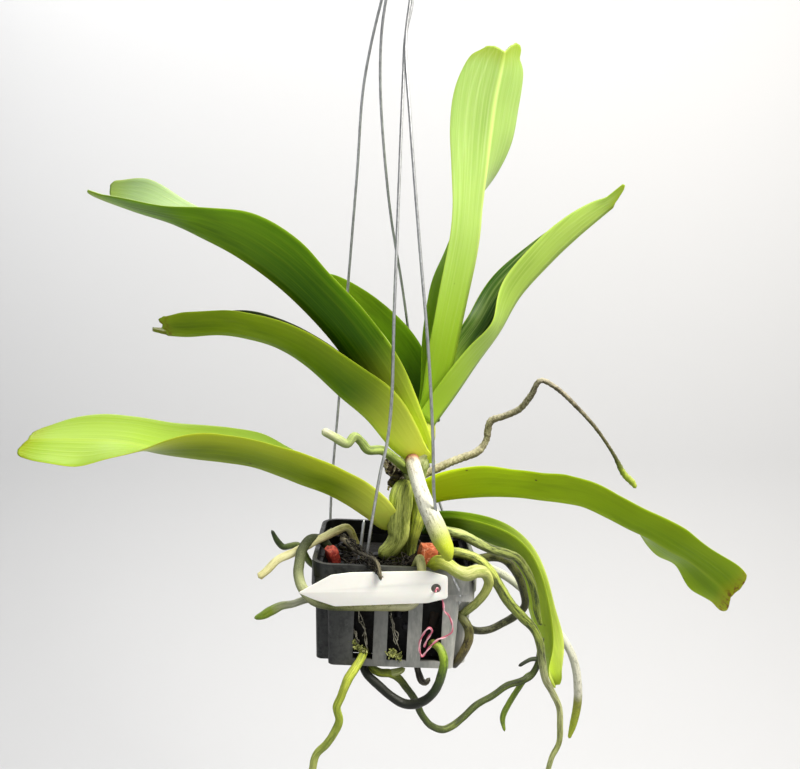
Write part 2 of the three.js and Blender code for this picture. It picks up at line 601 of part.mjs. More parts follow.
// One folded blade: for each station along, a row of points from the far margin over the keel
// to the near margin, each with the unit normal of its half.
function bladeSections(leaf, grow) {
  const { at, length } = keelSampler(leaf.rows);
  const towardViewer = new THREE.Vector3(0, -1, 0);
  const sections = [];
  for (let i = 0; i <= LEAF.along; i += 1) {
    const u = 1 - (1 - i / LEAF.along) ** 1.25;
    const section = [];
    for (let k = -LEAF.across; k <= LEAF.across; k += 1) {
      const v = Math.sign(k) * (Math.abs(k) / LEAF.across) ** 0.9;
      const a = Math.abs(v);
      const lobe = leaf.lobes[v > 0 ? 0 : 1];
      const reach = lobe * (1 - (1 - a) ** 1.6) - leaf.round * a ** 5;
      const s = u * length + reach * u ** 6;
      const row = at(s);
      const tangent = new THREE.Vector3().fromArray(at(s + 0.3)).sub(new THREE.Vector3().fromArray(at(s - 0.3)));
      if (s < 0.3) tangent.fromArray(at(0.6)).sub(new THREE.Vector3().fromArray(at(0)));
      tangent.normalize();
      const forward = towardViewer.clone().addScaledVector(tangent, -towardViewer.dot(tangent)).normalize();
      const across = new THREE.Vector3().crossVectors(tangent, forward).multiplyScalar(leaf.fan);
      const fold = THREE.MathUtils.degToRad(v > 0 ? row[4] : row[5]);
      const cup = THREE.MathUtils.degToRad(leaf.cup) * (v > 0 ? 1 : -1);
      const halfWidth = row[3] + grow;
      const point = new THREE.Vector3(row[0], row[1], row[2]);
      const curlSteps = 4;
      let angle = fold + cup / 2;
      for (let c = 0; c < curlSteps && a > 0; c += 1) {
        angle = fold - cup * (((c + 0.5) / curlSteps) * a - 0.5);
        point.addScaledVector(across, (Math.cos(angle) * halfWidth * a) / curlSteps);
        point.addScaledVector(forward, (Math.sin(angle) * halfWidth * a) / curlSteps);
      }
      // The inner normal points into the fold, from each half towards the other one.
      const into = v > 0 ? -1 : 1;
      const inner = new THREE.Vector3()
        .addScaledVector(across, -into * Math.sin(angle))
        .addScaledVector(forward, into * Math.cos(angle));
      const foldNear = THREE.MathUtils.degToRad(row[4]);
      const foldFar = THREE.MathUtils.degToRad(row[5]);
      const bisector = (foldNear + foldFar) / 2;
      if (k === 0) {
        inner.set(0, 0, 0)
          .addScaledVector(across, Math.cos(bisector))
          .addScaledVector(forward, Math.sin(bisector));
      }
      section.push({ point, inner, a, halfWidth, opening: (foldNear - foldFar) / 2 });
    }
    sections.push(section);
  }
  return sections;
}

// The blade's closed skin. Both faces are split along the same diagonals.
function bladeSolid(leaf, grow = 0) {
  const sections = bladeSections(leaf, grow);
  const rows = sections.length;
  const columns = sections[0].length;
  const outer = [];
  const inner = [];
  sections.forEach((section) => section.forEach(({ point, inner: normal, a, halfWidth, opening }) => {
    const thickness = THREE.MathUtils.lerp(LEAF.keel, LEAF.margin, a) + 2 * grow;
    const room = a === 0
      ? Math.min(thickness / 2 / Math.sin(opening), 0.24 * halfWidth)
      : Math.min(thickness / 2, 0.8 * a * halfWidth * Math.sin(opening));
    const outwards = a === 0 ? 0.75 * thickness : thickness / 2;
    outer.push(point.clone().addScaledVector(normal, -outwards));
    inner.push(point.clone().addScaledVector(normal, room));
  }));
  const positions = [...outer, ...inner].flatMap((p) => p.toArray());
  const offset = rows * columns;
  const indices = [];
  const flip = leaf.fan > 0;
  const push = (a, b, c) => indices.push(...(flip ? [a, b, c] : [a, c, b]));
  const quad = (a, b, c, d) => {
    push(a, b, c);
    push(a, c, d);
  };
  for (let i = 0; i + 1 < rows; i += 1) {
    for (let k = 0; k + 1 < columns; k += 1) {
      const a = i * columns + k;
      const [b, c, d] = [a + 1, a + columns + 1, a + columns];
      quad(a, b, c, d);
      push(offset + a, offset + c, offset + b);
      push(offset + a, offset + d, offset + c);
    }
  }
  for (let i = 0; i + 1 < rows; i += 1) {
    const left = i * columns;
    const right = left + columns - 1;
    quad(left, left + columns, offset + left + columns, offset + left);
    quad(right, offset + right, offset + right + columns, right + columns);
  }
  for (let k = 0; k + 1 < columns; k += 1) {
    const first = k;
    const last = (rows - 1) * columns + k;
    quad(first, offset + first, offset + first + 1, first + 1);
    quad(last, last + 1, offset + last + 1, offset + last);
  }
  const solid = solidFromArrays(positions, indices);
  if (solid.volume() < 0) throw new Error('a blade is inside out');
  return solid;
}

// The basket

const basketPlace = new THREE.Matrix4()
  .makeTranslation(BASKET.centreX, BASKET.centreY, BASKET.drop)
  .multiply(new THREE.Matrix4().makeRotationZ(BASKET.yaw))
  .multiply(new THREE.Matrix4().makeRotationX(BASKET.tilt))
  .multiply(new THREE.Matrix4().makeRotationY(BASKET.lean));

function placed(solid, matrix) {
  return solidFromGeometry(geometryFromSolid(solid), matrix);
}

function block(sizeX, sizeY, sizeZ, x, y, z) {
  return solidFromGeometry(new THREE.BoxGeometry(sizeX, sizeY, sizeZ).translate(x, y, z));
}

// A square box with its upright corners notched, between two heights, set in or out.
function notchedBox(from, to, out, radius) {
  const half = (z) => THREE.MathUtils.lerp(BASKET.baseHalf, BASKET.topHalf, z / BASKET.height) + out;
  const span = (z) => THREE.MathUtils.lerp(BASKET.baseSpan, BASKET.topSpan, z / BASKET.height) + out;
  const leftToRight = loftedSolid([from, to].map((z) => roundedLoop(half(z), span(z), radius, z)));
  const frontToBack = loftedSolid([from, to].map((z) => roundedLoop(span(z), half(z), radius, z)));
  return leftToRight.add(frontToBack);
}

function lugSolids(grow) {
  const { lugHalf, lugRadius, lugBottom, lugTop, baseSpan, wall } = BASKET;
  const ring = roundedSquare(lugHalf + grow, lugRadius + grow, lugBottom - grow, lugTop + grow);
  const inner = baseSpan - wall / 2;
  const size = lugHalf - inner + 2;
  return [[1, 1], [-1, 1], [-1, -1], [1, -1]].map(([sx, sy]) => ring.intersect(
    block(size, size, 4 * lugTop, sx * (inner + size / 2), sy * (inner + size / 2), 0),
  ));
}

function basketSolid(grow = 0) {
  const { height, wall, floor, edgeRadius, rimBottom, rimHalf, rimRadius } = BASKET;
  let body = notchedBox(-grow, height + grow, grow, edgeRadius + grow);
  body = body.add(roundedSquare(rimHalf + grow, rimRadius + grow, rimBottom - grow, height + grow));
  lugSolids(grow).forEach((lug) => {
    body = body.add(lug);
  });
  const open = height + 2;
  body = body.subtract(notchedBox(floor + grow, open, -wall - grow, edgeRadius - wall));
  body = body.subtract(roundedSquare(rimHalf - wall - grow, rimRadius - wall, BASKET.lugTop + grow, open));
  const slotHeight = BASKET.slotTop - BASKET.slotBottom - 2 * grow;
  const slotMiddle = (BASKET.slotTop + BASKET.slotBottom) / 2;
  const slotWidth = BASKET.slotWidth - 2 * grow;
  const floorLength = BASKET.floorSlotOuter - BASKET.floorSlotInner - 2 * grow;
  const floorMiddle = (BASKET.floorSlotOuter + BASKET.floorSlotInner) / 2;
  [-1, 0, 1].forEach((column) => {
    const offset = column * BASKET.slotPitch;
    const shifted = offset + BASKET.slotShift;
    body = body.subtract(block(slotWidth, 100, slotHeight, shifted, 0, slotMiddle));
    body = body.subtract(block(100, slotWidth, slotHeight, 0, offset, slotMiddle));
    [-1, 1].forEach((side) => {
      body = body.subtract(block(slotWidth, floorLength, 3 * floor, shifted, side * floorMiddle, 0));
    });
  });
  return placed(body, basketPlace);
}

// The growing medium: a filled core that fits the basket, with bark chunks standing out on top.

function mediumSolid() {
  const random = seededRandom(MEDIUM.seed);
  const inset = BASKET.wall + MEDIUM.gapToWall;
  let body = notchedBox(MEDIUM.bottom, MEDIUM.top, -inset, BASKET.edgeRadius - BASKET.wall);
  const addChunk = (size, x, y, z) => {
    const chunk = new THREE.IcosahedronGeometry(size, 0);
    chunk.scale(1, 0.6 + 0.3 * random(), 0.55 + 0.3 * random());
    chunk.rotateX(random() * 0.8);
    chunk.rotateZ(random() * 2 * Math.PI);
    body = body.add(solidFromGeometry(chunk.translate(x, y, z)));
  };
  for (let i = 0; i < MEDIUM.chunks; i += 1) {
    const size = THREE.MathUtils.lerp(...MEDIUM.chunkSize, random());
    const x = (2 * random() - 1) * MEDIUM.spread;
    const y = (2 * random() - 1) * MEDIUM.spread;
    const level = THREE.MathUtils.lerp(...MEDIUM.chunkLevel, random());
    const heap = MEDIUM.heap * (1 - (x / MEDIUM.spread) ** 2) * (0.5 + (0.5 * y) / MEDIUM.spread);
    addChunk(size, x, y, level + heap);
  }
  MEDIUM.rests.forEach(([x, y, z]) => addChunk(MEDIUM.chunkSize[1], x, y, z));
  return placed(body, basketPlace);
}

// An angular chip: a turned box whose corners are broken off.
function chipSolid({ centre, size, turn }, grow = 0) {
  const full = size.map((side) => side + 2 * grow);
  const turned = (geometry) => solidFromGeometry(
    geometry.scale(...full).rotateX(turn[0]).rotateY(turn[1]).rotateZ(turn[2]).translate(...centre),
  );
  return turned(new THREE.BoxGeometry(1, 1, 1)).intersect(turned(new THREE.OctahedronGeometry(0.95, 0)));
}

function deadTissueSolid() {
  const lumps = DEAD_TISSUE.lumps.map(([centre, radius], i) => {
    const lump = new THREE.IcosahedronGeometry(radius, 0);
    lump.rotateX(i);
    lump.rotateZ(2 * i);
    return solidFromGeometry(lump.translate(...centre));
  });
  return lumps.reduce((whole, lump) => whole.add(lump));
}

// Hook, collar and wires

function hookRoute() {
  const [x, y, z] = HOOK.centre;
  const route = [[x, y, HOOK.collarTop - 6, HOOK.wire], [x, y, HOOK.collarTop + 8, HOOK.wire]];
  const first = -100;
  const last = -320;
  const turns = 11;
  for (let i = 0; i <= turns; i += 1) {
    const angle = THREE.MathUtils.degToRad(THREE.MathUtils.lerp(first, last, i / turns));
    route.push([x + HOOK.ringRadius * Math.cos(angle), y, z + HOOK.ringRadius * Math.sin(angle), HOOK.wire]);
  }
  return route;
}

function hookSolid(grow = 0) {
  return taperedRod(hookRoute(), { sides: 8, step: 10, grow, dome: 0.3 });
}

function collarSolid() {
  const [x, y] = HOOK.centre;
  const height = HOOK.collarTop - HOOK.collarBottom;
  const profile = [
    [0, 0], [HOOK.collarRadius, 0], [HOOK.collarRadius, height - 4], [HOOK.collarRadius - 1.2, height], [0, height],
  ].map(([r, h]) => new THREE.Vector2(r, h));
  const collar = new THREE.LatheGeometry(profile, 12);
  collar.rotateX(Math.PI / 2).translate(x, y, HOOK.collarBottom);
  return solidFromGeometry(collar);
}

function wireSolid(route, grow = 0) {
  const stations = route.map((point) => [...point, WIRE_RADIUS]);
  return taperedRod(stations, { sides: 5, step: 24, grow, dome: 0.2 });
}

// The tag

function tagSolid(grow = 0) {
  const shape = new THREE.Shape(TAG.outline.map(([x, z]) => new THREE.Vector2(x, z)));
  const holeSides = 16;
  const hole = Array.from({ length: holeSides }, (_, k) => {
    const angle = (2 * Math.PI * k) / holeSides;
    const radius = TAG.holeRadius - grow;
    return new THREE.Vector2(
      TAG.holeCentre[0] + radius * Math.cos(angle), TAG.holeCentre[1] + radius * Math.sin(angle),
    );
  });
  shape.holes.push(new THREE.Path(hole));
  const plate = new THREE.ExtrudeGeometry(shape, {
    depth: TAG.thickness + 2 * grow, bevelEnabled: false,
  });
  plate.rotateX(Math.PI / 2);
  plate.translate(0, TAG.plane + TAG.thickness + grow, 0);
  const place = new THREE.Matrix4().makeTranslation(TAG.centreX, 0, 0)
    .multiply(new THREE.Matrix4().makeRotationZ(TAG.yaw));
  return solidFromGeometry(plate, place);
}

function rootSolid(root, grow = 0) {
  const main = taperedRod(root.route, { grow });
  const branches = (root.branches ?? []).map((route) => taperedRod(route, { grow }));
  return branches.reduce((whole, branch) => whole.add(branch), main);
}

// Assembly

const plant = new THREE.Group();
plant.position.set(-HOOK.centre[0], -HOOK.centre[1], -(HOOK.centre[2] + HOOK.ringRadius - HOOK.wire));

const obstacles = [];

// Cuts a piece clear of everything placed so far, names it, and keeps its grown copy.
function place(name, solid, grown, colour, roughness = 0.6, metalness = 0) {
  let clear = solid;
  obstacles.forEach((obstacle) => {
    if (boxesMeet(clear, obstacle)) clear = clear.subtract(obstacle);
  });
  const body = largestBody(clear);
  const material = new THREE.MeshStandardMaterial({ color: colour, roughness, metalness });
  const mesh = new THREE.Mesh(geometryFromSolid(body), material);
  mesh.name = name;
  plant.add(mesh);
  if (grown) obstacles.push(grown);
  return mesh;
}

function placeWires() {
  Object.entries(WIRES).forEach(([name, route]) => {
    place(name, wireSolid(route), wireSolid(route, CLEARANCE), COLOURS.wire, 0.35, 1);
  });
}

function placeRoots() {
  Object.entries(ROOTS).forEach(([name, root]) => {
    place(name, rootSolid(root), rootSolid(root, CLEARANCE), root.colour, 0.75);
  });
}

function placeLeaves() {
  Object.entries(LEAVES).forEach(([name, leaf]) => {
    place(name, bladeSolid(leaf), bladeSolid(leaf, CLEARANCE), leaf.colour, 0.45);
  });
}

placeWires();
place('hanger_hook', hookSolid(), hookSolid(CLEARANCE), COLOURS.hook, 0.35, 1);
place('hanger_collar', collarSolid(), null, COLOURS.hook, 0.4, 1);
place('slotted_basket', basketSolid(), basketSolid(CLEARANCE), COLOURS.basket, 0.7);
const stemRod = (grow) => taperedRod(STEM.route, { sides: STEM.sides, step: 7, grow });
place('stem', stemRod(0), stemRod(CLEARANCE), COLOURS.stem, 0.6);
placeRoots();
placeLeaves();
place('dead_sheath_scraps', deadTissueSolid(), null, DEAD_TISSUE.colour, 0.9);
place('name_tag', tagSolid(), tagSolid(CLEARANCE), COLOURS.tag, 0.4);
const tieStations = TIE.route.map((point) => [...point, TIE.radius]);
const tieRod = (grow) => taperedRod(tieStations, { sides: 5, step: 4, grow });
place('twist_tie', tieRod(0), tieRod(CLEARANCE), TIE.colour, 0.6);
Object.entries(BRICK_CHIPS).forEach(([name, chip]) => {
  place(name, chipSolid(chip), chipSolid(chip, CLEARANCE), chip.colour, 0.9);
});
place('growing_medium', mediumSolid(), null, COLOURS.medium, 0.95);

const part = new THREE.Group();
part.add(plant);

export default part;
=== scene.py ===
"""The looks of a foxtail orchid in a hanging slotted basket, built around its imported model.

Sizes and routes are millimetres in the basket's own frame: its origin is the middle of the
basket's underside, +X to the right, +Y away from the viewer, +Z up. Only row_frame turns them
into metres in the row frame, whose origin is where the hook bears.
"""

from __future__ import annotations

import logging
import math
import random
from dataclasses import dataclass, field
from enum import Enum
from functools import cached_property
from typing import Any, Sequence, Union

import bmesh
import bpy
import numpy as np
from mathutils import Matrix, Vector, noise

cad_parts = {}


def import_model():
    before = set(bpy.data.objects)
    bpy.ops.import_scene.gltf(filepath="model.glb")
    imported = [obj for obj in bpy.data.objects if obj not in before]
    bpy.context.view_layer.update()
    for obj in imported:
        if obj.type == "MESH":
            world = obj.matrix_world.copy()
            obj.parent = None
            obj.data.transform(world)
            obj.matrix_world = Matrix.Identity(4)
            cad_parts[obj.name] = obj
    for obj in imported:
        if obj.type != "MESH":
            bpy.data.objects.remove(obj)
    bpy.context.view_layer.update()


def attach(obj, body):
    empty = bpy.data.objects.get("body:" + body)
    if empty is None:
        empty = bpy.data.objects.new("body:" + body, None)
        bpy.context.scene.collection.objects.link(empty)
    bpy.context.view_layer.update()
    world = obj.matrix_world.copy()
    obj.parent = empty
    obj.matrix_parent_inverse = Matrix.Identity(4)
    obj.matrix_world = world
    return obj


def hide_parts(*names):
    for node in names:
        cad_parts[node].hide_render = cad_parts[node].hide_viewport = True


LOG = logging.getLogger("orchid")
MM = 0.001
HOOK_BEARING = np.array([14.0, -1.0, 399.7])

Point = Sequence[float]
Faces = list[tuple[int, ...]]
Stops = dict[float, str]
Socket = bpy.types.NodeSocket
Material = bpy.types.Material
Thing = bpy.types.Object
Feed = Union[Socket, float, Sequence[float]]

# Type and member of a mesh value, by how many numbers it has a point
VALUE_KINDS = {1: ("FLOAT", "value"), 3: ("FLOAT_VECTOR", "vector"), 4: ("FLOAT_COLOR", "color")}

# Corners of a square, in order round it
QUARTERS = ((1, 1), (-1, 1), (-1, -1), (1, -1))


class Slot(Enum):
    """The material slots of the pieces; roots, stem and tie take their finish by theirs."""

    LEAF = "leaf"
    LEAF_YOUNG = "leaf_young"
    STEM = "stem"
    ROOT_PALE = "root_pale"
    ROOT_GREEN = "root_green"
    ROOT_DARK = "root_dark"
    ROOT_SCALY = "root_scaly"
    ROOT_STRAW = "root_straw"
    DEAD = "dead_tissue"
    BASKET = "basket_plastic"
    BARK = "bark"
    BRICK = "brick"
    WIRE = "galvanised_wire"
    TAG = "tag_plastic"
    TIE = "tie_plastic"


class Rank(Enum):
    """The side of the stem a leaf grows on, which sets the turn of its section."""

    LEFT = 1
    RIGHT = -1


class Effect(Enum):
    """The shader effects that several finishes share, by the name of their node group."""

    FLECKS = "Flecks"
    VEINS = "Parallel veins"
    DUST = "Dust"
    WEAR = "Edge wear"


class Meeting(Enum):
    """What is left where one solid meets another."""

    JOINED = "UNION"
    CUT = "DIFFERENCE"
    COMMON = "INTERSECT"


def colour(code: str) -> tuple[float, float, float, float]:
    """Turn a hex colour as seen on a screen into a linear one.

    Args:
        code: six hex digits.

    Returns:
        Red, green, blue and alpha, linear.
    """
    parts = [int(code[i : i + 2], 16) / 255 for i in (0, 2, 4)]
    linear = [c / 12.92 if c <= 0.04045 else ((c + 0.055) / 1.055) ** 2.4 for c in parts]
    return (*linear, 1.0)


def fade(value: np.ndarray | float, start: float, end: float) -> np.ndarray:
    """Smooth step from 0 at start to 1 at end."""
    t = np.clip((np.asarray(value, float) - start) / (end - start), 0, 1)
    return t * t * (3 - 2 * t)


def rough(points: np.ndarray, size: float, seed: int = 0) -> np.ndarray:
    """Smooth random values from about -1 to 1, one for each point, with hills as far apart as size."""
    shift = Vector((seed * 7.31, seed * 3.17, seed * 5.71))
    return np.array([noise.noise(Vector(p) / size + shift) for p in points])


def distances(points: np.ndarray) -> np.ndarray:
    """How far each point of a line lies from its start."""
    return np.r_[0, np.cumsum(np.linalg.norm(np.diff(points, axis=0), axis=1))]


def row_frame(points: Any) -> np.ndarray:
    """Turn millimetres in the basket's frame into metres in the row frame."""
    return (np.asarray(points, float) - HOOK_BEARING) * MM


# Meshes


def put(name: str, data: bpy.types.ID) -> Thing:
    """Put an object into the scene.

    Args:
        name: the object's name.
        data: its mesh, camera or light.

    Returns:
        The new object.
    """
    thing = bpy.data.objects.new(name, data)
    bpy.context.scene.collection.objects.link(thing)
    return thing


def face_out(mesh: bpy.types.Mesh) -> None:
    """Turn the faces of closed skins outward.

    Args:
        mesh: one or more closed skins.
    """
    form = bmesh.new()
    form.from_mesh(mesh)
    bmesh.ops.recalc_face_normals(form, faces=form.faces)
    form.to_mesh(mesh)
    form.free()


def write_value(mesh: bpy.types.Mesh, name: str, rows: np.ndarray) -> None:
    """Keep a value of one, three or four numbers for each point of a mesh."""
    kind, member = VALUE_KINDS[rows.size // len(rows)]
    mesh.attributes.new(name, kind, "POINT").data.foreach_set(member, rows.ravel())


def coat(mesh: bpy.types.Mesh, finish: Material, crease: float = 180.0) -> None:
    """Shade a mesh smooth and give it its only material.

    Args:
        mesh: the mesh.
        finish: its material.
        crease: edges bent by more than this many degrees stay sharp.
    """
    mesh.polygons.foreach_set("use_smooth", [True] * len(mesh.polygons))
    if crease < 180:
        mesh.set_sharp_from_angle(angle=math.radians(crease))
    mesh.materials.clear()
    mesh.materials.append(finish)


def settle(piece: Thing, nodes: Sequence[str] = ()) -> None:
    """Ride a piece on the body and hide the CAD nodes that it stands for.

    Args:
        piece: the finished object.
        nodes: the CAD nodes that it replaces.
    """
    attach(piece, "root")
    if nodes:
        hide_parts(*nodes)
    LOG.info("%s: %d faces", piece.name, len(piece.data.polygons))


@dataclass
class Skin:
    """One piece while it is being made: points, faces and the values that its finish reads."""

    points: list[np.ndarray] = field(default_factory=list)
    faces: Faces = field(default_factory=list)
    values: dict[str, list[np.ndarray]] = field(default_factory=dict)
    count: int = 0

    def add(self, points: np.ndarray, faces: Faces, **values: np.ndarray) -> None:
        """Add a closed skin.

        Args:
            points: rows of x, y, z.
            faces: point numbers of each face, counted within points.
            values: under each name one row for each point.
        """
        self.points.append(np.asarray(points, float))
        self.faces.extend(tuple(int(i) + self.count for i in face) for face in faces)
        for name, rows in values.items():
            self.values.setdefault(name, []).append(np.asarray(rows, float))
        self.count += len(points)

    def build(
        self, name: str, finish: Material, slot: Slot, nodes: Sequence[str] = (), crease: float = 180.0
    ) -> None:
        """Make the piece, ride it on the body and hide the CAD nodes that it stands for.

        Args:
            name: the piece's name.
            finish: its material.
            slot: the piece's material slot. It is not used.
            nodes: the CAD nodes that it replaces.
            crease: edges bent by more than this many degrees stay sharp.
        """
        mesh = bpy.data.meshes.new(name)
        mesh.from_pydata(row_frame(np.vstack(self.points)).tolist(), [], self.faces)
        for key, parts in self.values.items():
            write_value(mesh, key, np.concatenate(parts))
        face_out(mesh)
        coat(mesh, finish, crease)
        settle(put(name, mesh), nodes)


def ring_faces(rings: int, sides: int) -> Faces:
    """Faces of stacked rings, with a flat cap on the first and the last one.

    Args:
        rings: how many rings.
        sides: points in each ring.

    Returns:
        Faces by point number, ring after ring.
    """
    faces = []
    for level in range(rings - 1):
        for k in range(sides):
            a, b = level * sides + k, level * sides + (k + 1) % sides
            faces.append((a, b, b + sides, a + sides))
    last = (rings - 1) * sides
    return faces + [tuple(range(sides)), tuple(last + k for k in range(sides))]


def spline(stations: Sequence[Point], step: float) -> tuple[np.ndarray, np.ndarray]:
    """Run a centripetal curve through the stations of a route.

    Args:
        stations: rows that start with x, y, z.
        step: the distance between two samples, in millimetres.

    Returns:
        The samples, with as many columns as a station, and each one's station number.
    """
    rows = np.asarray(stations, float)
    rows = np.vstack([2 * rows[0] - rows[1], rows, 2 * rows[-1] - rows[-2]])
    samples, knots = [], []
    for i in range(1, len(rows) - 2):
        p0, p1, p2, p3 = rows[i - 1 : i + 3]
        legs = ((p0, p1), (p1, p2), (p2, p3))
        d0, d1, d2 = (max(math.sqrt(np.linalg.norm((b - a)[:3])), 1e-4) for a, b in legs)
        t1 = d1 * ((p1 - p0) / d0 - (p2 - p0) / (d0 + d1) + (p2 - p1) / d1)
        t2 = d1 * ((p2 - p1) / d1 - (p3 - p1) / (d1 + d2) + (p3 - p2) / d2)
        pieces = max(2, round(np.linalg.norm((p2 - p1)[:3]) / step))
        for k in range(pieces):
            t = k / pieces
            cubic = (2 * p1 - 2 * p2 + t1 + t2) * t + (3 * p2 - 3 * p1 - 2 * t1 - t2)
            samples.append(p1 + t * (t1 + t * cubic))
            knots.append(i - 1 + t)
    samples.append(rows[-2])
    knots.append(len(rows) - 3.0)
    return np.array(samples), np.array(knots)


def along(knots: np.ndarray, stops: Stops) -> np.ndarray:
    """Blend colour stops along a route, into one linear colour for each station number."""
    table = np.array([colour(code) for code in stops.values()])
    return np.stack([np.interp(knots, list(stops), table[:, k]) for k in range(4)], axis=-1)


@dataclass(frozen=True)
class Relief:
    """How a rod's surface departs from a round one. Depths are shares of its radius."""

    lumps: float = 0.06
    lump_size: float = 6.0
    grain: float = 0.03
    grooves: int = 0
    groove_depth: float = 0.0
    rings: float = 0.0
    ring_pitch: float = 1.6

    def depth(self, straight: np.ndarray, angles: np.ndarray, seed: int) -> np.ndarray:
        """How far each point of a rod stands out, as a share of the radius.

        Args:
            straight: straight coordinates of the points.
            angles: the angle of each point round the rod.
            seed: of the rod.

        Returns:
            One share for each point.
        """
        if self.lumps == self.grain == self.groove_depth == self.rings == 0:
            return np.zeros(len(straight))
        out = self.lumps * rough(straight * (1, 1, 0.6), self.lump_size, seed)
        out = out + self.grain * rough(straight * (1, 1, 0.35), 0.9, seed + 5)
        if self.grooves:
            sway = 0.7 * rough(straight * (0, 0, 1), 14, seed + 9)
            groove = self.groove_depth * fade(np.cos(self.grooves * (angles + sway)), 0.2, 1)
            out = out - groove * (0.6 + 0.4 * rough(straight, 8, seed + 3))
        if self.rings:
            drift = 0.6 * rough(straight, 5, seed + 2)
            out = out + self.rings * np.sin(2 * math.pi * (straight[:, 2] / self.ring_pitch + drift))
        return out


SMOOTH = Relief(lumps=0, grain=0)


@dataclass(frozen=True)
class Rod:
    """A rod swept along a route of x, y, z and radius. Its domes are shares of the radius."""

    route: tuple[Point, ...]
    sides: int = 14
    step: float = 0.9
    relief: Relief = Relief()
    seed: int = 0
    domes: tuple[float, float] = (0.6, 1.0)
    least_radius: float = 0.2

    def rings(self) -> tuple[np.ndarray, np.ndarray, np.ndarray]:
        """Lay the rings of the rod.

        Returns:
            The points ring by ring, straight coordinates of each point (round the rod and along
            it, in millimetres) and each ring's station number.
        """
        samples, knots = spline(self.route, self.step)
        centres, radii = samples[:, :3], samples[:, 3]
        lengths = distances(centres)
        for end, dome in zip((0, -1), self.domes):
            reach = max(radii[end] * dome, 1e-3)
            depth = np.clip(np.abs(lengths - lengths[end]) / reach, 0, 1)
            radii = radii * np.sqrt(np.maximum(1 - (1 - depth) ** 2, 0.02))
        tangents = np.gradient(centres, axis=0)
        tangents /= np.linalg.norm(tangents, axis=1)[:, None]
        normal = np.cross((0, 1, 0), tangents[0])
        if np.dot(normal, normal) < 0.01:
            normal = np.cross((1, 0, 0), tangents[0])
        angles = np.arange(self.sides) / self.sides * 2 * math.pi
        circle = np.stack([np.cos(angles), np.sin(angles)], axis=-1)
        points, straight = [], []
        for centre, radius, tangent, length in zip(centres, radii, tangents, lengths):
            normal = normal - np.dot(normal, tangent) * tangent
            normal /= np.linalg.norm(normal)
            binormal = np.cross(tangent, normal)
            round_it = circle * max(radius, self.least_radius)
            points.append(centre + round_it[:, :1] * normal + round_it[:, 1:] * binormal)
            straight.append(np.column_stack([round_it, np.full(self.sides, length)]))
        flat = np.vstack(straight)
        scale = 1 + self.relief.depth(flat, np.tile(angles, len(centres)), self.seed)
        middles = np.repeat(centres, self.sides, axis=0)
        return middles + (np.vstack(points) - middles) * scale[:, None], flat, knots

    def add_to(self, skin: Skin, stops: Stops | None = None, flecks: Stops | None = None) -> None:
        """Add the rod to a piece.

        Args:
            skin: the piece.
            stops: its colour along the route. Without them the rod carries no values.
            flecks: the colour of its markings along the route.
        """
        points, straight, knots = self.rings()
        values = {}
        if stops:
            every = np.repeat(knots, self.sides)
            values["straight"] = straight + (0, 0, 40.0 * self.seed)
            values["tint"], values["fleck"] = along(every, stops), along(every, flecks)
        skin.add(points, ring_faces(len(knots), self.sides), **values)


# Shader nodes


